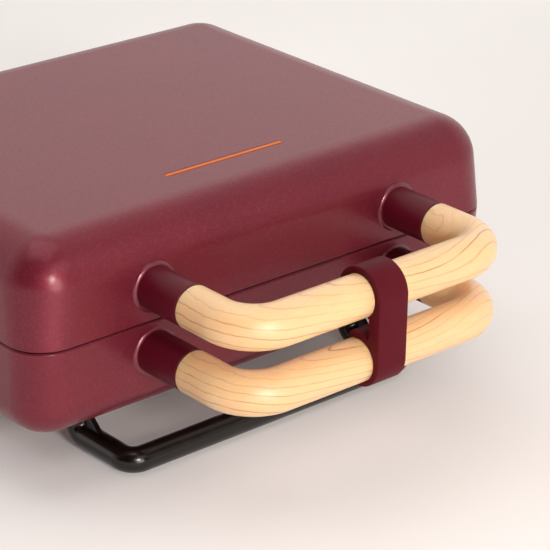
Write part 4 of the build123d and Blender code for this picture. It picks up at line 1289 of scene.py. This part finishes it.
@dataclass
class CrossHeadScrews:
    """Pan-head screws with a cross recess, one mesh for each set."""

    radius: float = 2.9
    height: float = 1.8
    shank: float = 1.5
    bite: float = 8.8
    crown: float = 0.55
    recess_depth: float = 1.1
    recess_arm: float = 1.7
    recess_width: float = 0.42
    recess_flank: float = 0.22
    arm_slope: float = 0.6
    edge: float = 0.35
    point: float = 0.9
    around: int = 48
    dome_rings: int = 15
    edge_steps: int = 4
    leaf_y: float = BODY_Y + 113.0
    leaf_x: float = 80.0
    leaf_spread: float = 9.0
    leaf_lift: float = 17.5
    frame_half: Pair = (122.0, 94.0)
    frame_lift: float = 3.4
    cover_half: Pair = (59.5, 47.5)
    cover_drop: float = 43.6

    def head(self, seat: Seat) -> Surface:
        """A domed head with a tapering cross let into it, on a plain shank.

        The dome is height - crown (r / R)^2, and the cross is the larger of two crossed slots, each the
        product of a slope across it and one along it.

        Args:
            seat: The middle of the head's underside, and the direction that it faces.

        Returns:
            The screw, closed at both ends.
        """
        flat = self.radius - self.edge
        dome = np.linspace(0.0, flat, self.dome_rings)
        rim_centre = (flat, self.height - self.crown - self.edge)
        rim = quarter(rim_centre, self.edge, 90.0, 0.0, self.edge_steps)
        radii = np.concatenate([dome, rim[1:, 0], [self.radius, self.shank, self.shank, 0.0]])
        fall = self.crown * (dome / flat) ** 2
        below = [0.0, 0.0, -self.bite, -self.bite - self.point]
        height = np.concatenate([self.height - fall, rim[1:, 1], below])
        turn = np.linspace(0.0, 2 * np.pi, self.around, endpoint=False)
        x = radii[:, None] * np.cos(turn)[None]
        y = radii[:, None] * np.sin(turn)[None]

        def slot(across: np.ndarray, along: np.ndarray) -> np.ndarray:
            """One of the two crossed slots, from nought to one."""
            flank, slope = self.recess_flank, self.arm_slope * self.recess_arm
            side = np.clip((self.recess_width + flank - np.abs(across)) / flank, 0.0, 1.0)
            ends = np.clip((self.recess_arm - np.abs(along)) / slope, 0.0, 1.0)
            return side * ends

        cross = np.maximum(slot(x, y), slot(y, x)) * (np.arange(len(radii)) < len(dome))[:, None]
        level = height[:, None] - self.recess_depth * cross
        return skin(np.array(seat.point) + np.stack([x, y, level], -1) @ seat.basis())

    def build(self) -> None:
        """Adds the screws that show: in the hinge leaves, the inner frames and the bottom cover."""
        for half, body, facing in (("upper", Body.LID, -1.0), ("lower", Body.BASE, 1.0)):
            leaf_z = SEAM_Z - facing * self.leaf_lift
            leaves = [
                Seat((side * self.leaf_x + end * self.leaf_spread, self.leaf_y, leaf_z), (0.0, 1.0, 0.0))
                for side, end in CORNERS
            ]
            self.add_set(f"{half}_hinge_leaf_screws", leaves, body, f"{half}_hinge_screws")
            inner = self.rectangle(self.frame_half, SEAM_Z - facing * self.frame_lift, facing)
            self.add_set(f"{half}_inner_frame_screws", inner, body, f"{half}_bezel_screws")
        cover = self.rectangle(self.cover_half, SEAM_Z - self.cover_drop, -1.0)
        self.add_set("bottom_cover_screws", cover, Body.BASE, "cover_screws")

    @staticmethod
    def rectangle(half: Pair, z: float, facing: float) -> list[Seat]:
        """The seats at the corners of a level rectangle round the body's middle.

        Args:
            half: Half the rectangle's width and depth.
            z: Its height.
            facing: One if the heads face up, minus one if down.

        Returns:
            Four seats.
        """
        return [Seat((x * half[0], BODY_Y + y * half[1], z), (0.0, 0.0, facing)) for x, y in CORNERS]

    def add_set(self, name: str, seats: Sequence[Seat], body: Body, node: str) -> None:
        """Adds one set of screws as one piece."""
        heads = [self.head(seat) for seat in seats]
        add_piece(name, heads, ZINC_PLATE, body, [node], sharp_deg=30.0)


@dataclass
class HingeLead:
    """The sleeved lead that loops from the base to the lid behind the hinge."""

    radius: float = 2.5
    bend: float = 7.0
    exit_z: float = 16.0
    loop_y: float = BODY_Y + 124.0
    wall_y: float = BODY_Y + 95.0
    stiff: float = 2.0
    around: int = 32
    turn_points: int = 16
    out_points: int = 14
    rise_points: int = 10

    def surface(self) -> Surface:
        """Straight out of the base, round a quarter turn, up, round another and into the lid."""
        turn = np.linspace(0.0, np.pi / 2, self.turn_points)
        bend_y = self.loop_y - self.bend
        out = np.linspace(self.wall_y, bend_y, self.out_points)[:-1]
        rise = np.linspace(-self.exit_z + self.bend, 0.0, self.rise_points)[1:]
        lift = -self.exit_z + self.bend * (1 - np.cos(turn))
        y = np.concatenate([out, bend_y + self.bend * np.sin(turn), np.full(len(rise), self.loop_y)])
        z = np.concatenate([np.full(len(out), -self.exit_z), lift, rise])
        heading = np.concatenate([np.zeros(len(out)), turn, np.full(len(rise), np.pi / 2)])
        y = np.concatenate([y, y[:-1][::-1]])
        z = np.concatenate([z, -z[:-1][::-1]])
        heading = np.concatenate([heading, np.pi - heading[:-1][::-1]])
        path = np.stack([np.zeros(len(y)), y, z + SEAM_Z], -1)
        left = np.tile([1.0, 0.0, 0.0], (len(y), 1))
        up = np.stack([np.zeros(len(y)), -np.sin(heading), np.cos(heading)], -1)
        return carried(path, left, up, np.full(len(y), self.radius), self.around, closed=True)

    def build(self) -> None:
        """Adds the lead, set on neither body, with its placement baked into its mesh."""
        made = add_piece("hinge_lead_sleeve", [self.surface()], RUBBER, None, ["hinge_lead"])
        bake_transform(made)


@dataclass(frozen=True)
class SoftBox:
    """A soft box that faces the object: its middle and size in metres, and its power in watts."""

    name: str
    at: Triple
    size: Pair
    power: float
    colour: str = "#FFF9F4"
    aim: Triple = (0.0, -0.04, 0.07)

    def build(self) -> None:
        """Adds the lamp."""
        data = bpy.data.lights.new(self.name, "AREA")
        data.shape = "RECTANGLE"
        data.size, data.size_y = self.size
        data.energy = self.power
        data.color = linear(self.colour)[:3]
        toward = Vector(self.aim) - Vector(self.at)
        turn = toward.to_track_quat("-Z", "Y").to_matrix().to_4x4()
        link(self.name, data).matrix_world = Matrix.Translation(Vector(self.at)) @ turn


SOFT_BOXES = (
    SoftBox("spot_box", (-0.66, -1.88, 0.83), (0.34, 0.34), 18.0),
    SoftBox("low_box", (-0.42, -1.97, 0.34), (0.9, 0.8), 14.5),
    SoftBox("high_box", (0.2, -1.6, 1.4), (1.5, 1.0), 6.0),
    SoftBox("top_box", (-0.1, 0.1, 2.4), (2.0, 2.0), 19.5, "#FFFBF8"),
)


@dataclass
class Studio:
    """The camera at the photograph's angle, the floor, the lamps and the surroundings.

    Lengths are in metres, but the lens and its sensor are in millimetres. The bands of the surroundings are
    parts of a direction of length one, between which the light changes.
    """

    camera_at: Triple = (-0.65863, -0.82224, 0.51935)
    camera_right: Triple = (0.75406624, -0.6565987, 0.01619403)
    camera_up: Triple = (0.25704659, 0.31771328, 0.91268029)
    lens: float = 157.09
    sensor: float = 36.0
    clip: Pair = (0.01, 100.0)
    floor_rings: tuple[float, ...] = (0.0, 0.5, 1.0, 2.0, 4.0, 9.0)
    floor_around: int = 96
    world_colour: str = "#FBF6F2"
    rear_low: float = 0.40
    rear_high: float = 1.05
    rear_band: Pair = (0.15, 0.65)
    height_band: Pair = (0.35, 0.55)
    right_side: float = 0.92
    right_band: Pair = (0.2, 0.8)

    def camera(self) -> None:
        """Sets the camera from its right and up directions."""
        right, up = Vector(self.camera_right), Vector(self.camera_up)
        turn = Matrix((right, up, right.cross(up))).transposed()
        data = bpy.data.cameras.new("photo_camera")
        data.sensor_width = self.sensor
        data.lens = self.lens
        data.clip_start, data.clip_end = self.clip
        made = link("photo_camera", data)
        made.matrix_world = Matrix.Translation(Vector(self.camera_at)) @ turn.to_4x4()
        bpy.context.scene.camera = made

    def floor(self) -> None:
        """A wide level disc."""
        rings = np.array(self.floor_rings) / MM
        profile = np.stack([np.zeros(len(rings)), rings], -1)
        surface = turned(profile, Seat((0.0, 0.0, 0.0), (0.0, 0.0, 1.0)), self.floor_around)
        mesh = bpy.data.meshes.new("floor")
        mesh.from_pydata((surface.points * MM).tolist(), [], surface.quads.tolist())
        mesh.materials.append(SheetPaper("pale_backdrop_paper").material())
        made = link("floor", mesh)

    def surroundings(self) -> None:
        """A pale room, bright to the rear and the right and dark behind the camera, where its lamps stand.

        The camera sees it plain white, and so do gloss and glass where they face the backdrop.
        """
        world = bpy.data.worlds.new("pale_room")
        bpy.context.scene.world = world
        world.use_nodes = True
        tree = world.node_tree
        tree.nodes.clear()
        path = add(tree, "ShaderNodeLightPath").node.outputs
        direction = add(tree, "ShaderNodeTexCoord", output="Generated")
        toward = add(tree, "ShaderNodeSeparateXYZ", {0: direction}).node.outputs
        near, far = self.rear_band
        rear = add(tree, "ShaderNodeMapRange", {0: toward["Y"], 1: near, 2: far})
        low, high = self.height_band
        lifting = {0: toward["Z"], 1: low, 2: high, 3: self.rear_low, 4: self.rear_high}
        level = add(tree, "ShaderNodeMapRange", lifting)
        near, far = self.right_band
        right = add(tree, "ShaderNodeMapRange", {0: toward["X"], 1: near, 2: far, 4: self.right_side})
        room = add(tree, "ShaderNodeMath", {0: rear, 1: level, 2: right}, operation="MULTIPLY_ADD")
        sharp = add(tree, "ShaderNodeMath", {0: path["Is Glossy Ray"], 1: path["Is Transmission Ray"]})
        shown = add(tree, "ShaderNodeMath", {0: sharp, 1: rear}, operation="MULTIPLY")
        lit = add(tree, "ShaderNodeMath", {0: room, 1: shown}, operation="MAXIMUM")
        strength = add(tree, "ShaderNodeMix", {0: path["Is Camera Ray"], 2: lit, 3: 1.0})
        back = add(tree, "ShaderNodeBackground", {0: linear(self.world_colour), 1: strength})
        add(tree, "ShaderNodeOutputWorld", {0: back})

    def build(self) -> None:
        """Sets up everything round the object."""
        self.camera()
        self.floor()
        self.surroundings()
        for soft_box in SOFT_BOXES:
            soft_box.build()
        bpy.context.scene.view_settings.view_transform = "Standard"


def dress_nodes(nodes: Mapping[str, bpy.types.Object]) -> None:
    """Gives every CAD node the finish of its material slot.

    Args:
        nodes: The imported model's objects by node name.
    """
    for name, piece in nodes.items():
        slot = piece.data.materials[0].name.split(".")[0]
        finish = FINISH_OF_SLOT[slot]
        piece.material_slots[0].material = finish.material()
        log.info("%s: %s", name, finish.name)


def main() -> None:
    """Builds the pieces in order, then the room and the camera."""
    dress_nodes(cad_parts)
    assemblies = (
        Grip("upper_ash_grip", "upper_grip", Body.LID, UPPER_BAR_Z, UPPER_ASH),
        Grip("lower_ash_grip", "lower_grip", Body.BASE, LOWER_BAR_Z, LOWER_ASH),
        HandleMounts("upper", Body.LID, UPPER_BAR_Z),
        HandleMounts("lower", Body.BASE, LOWER_BAR_Z),
        LensCrown(),
        RimTongue(),
        FootStrips(),
        LatchClip(),
        CrossHeadScrews(),
        HingeLead(),
        Studio(),
    )
    for assembly in assemblies:
        assembly.build()


if __name__ == "__main__":
    logging.basicConfig(level=logging.INFO, format="%(name)s %(message)s")
    main()
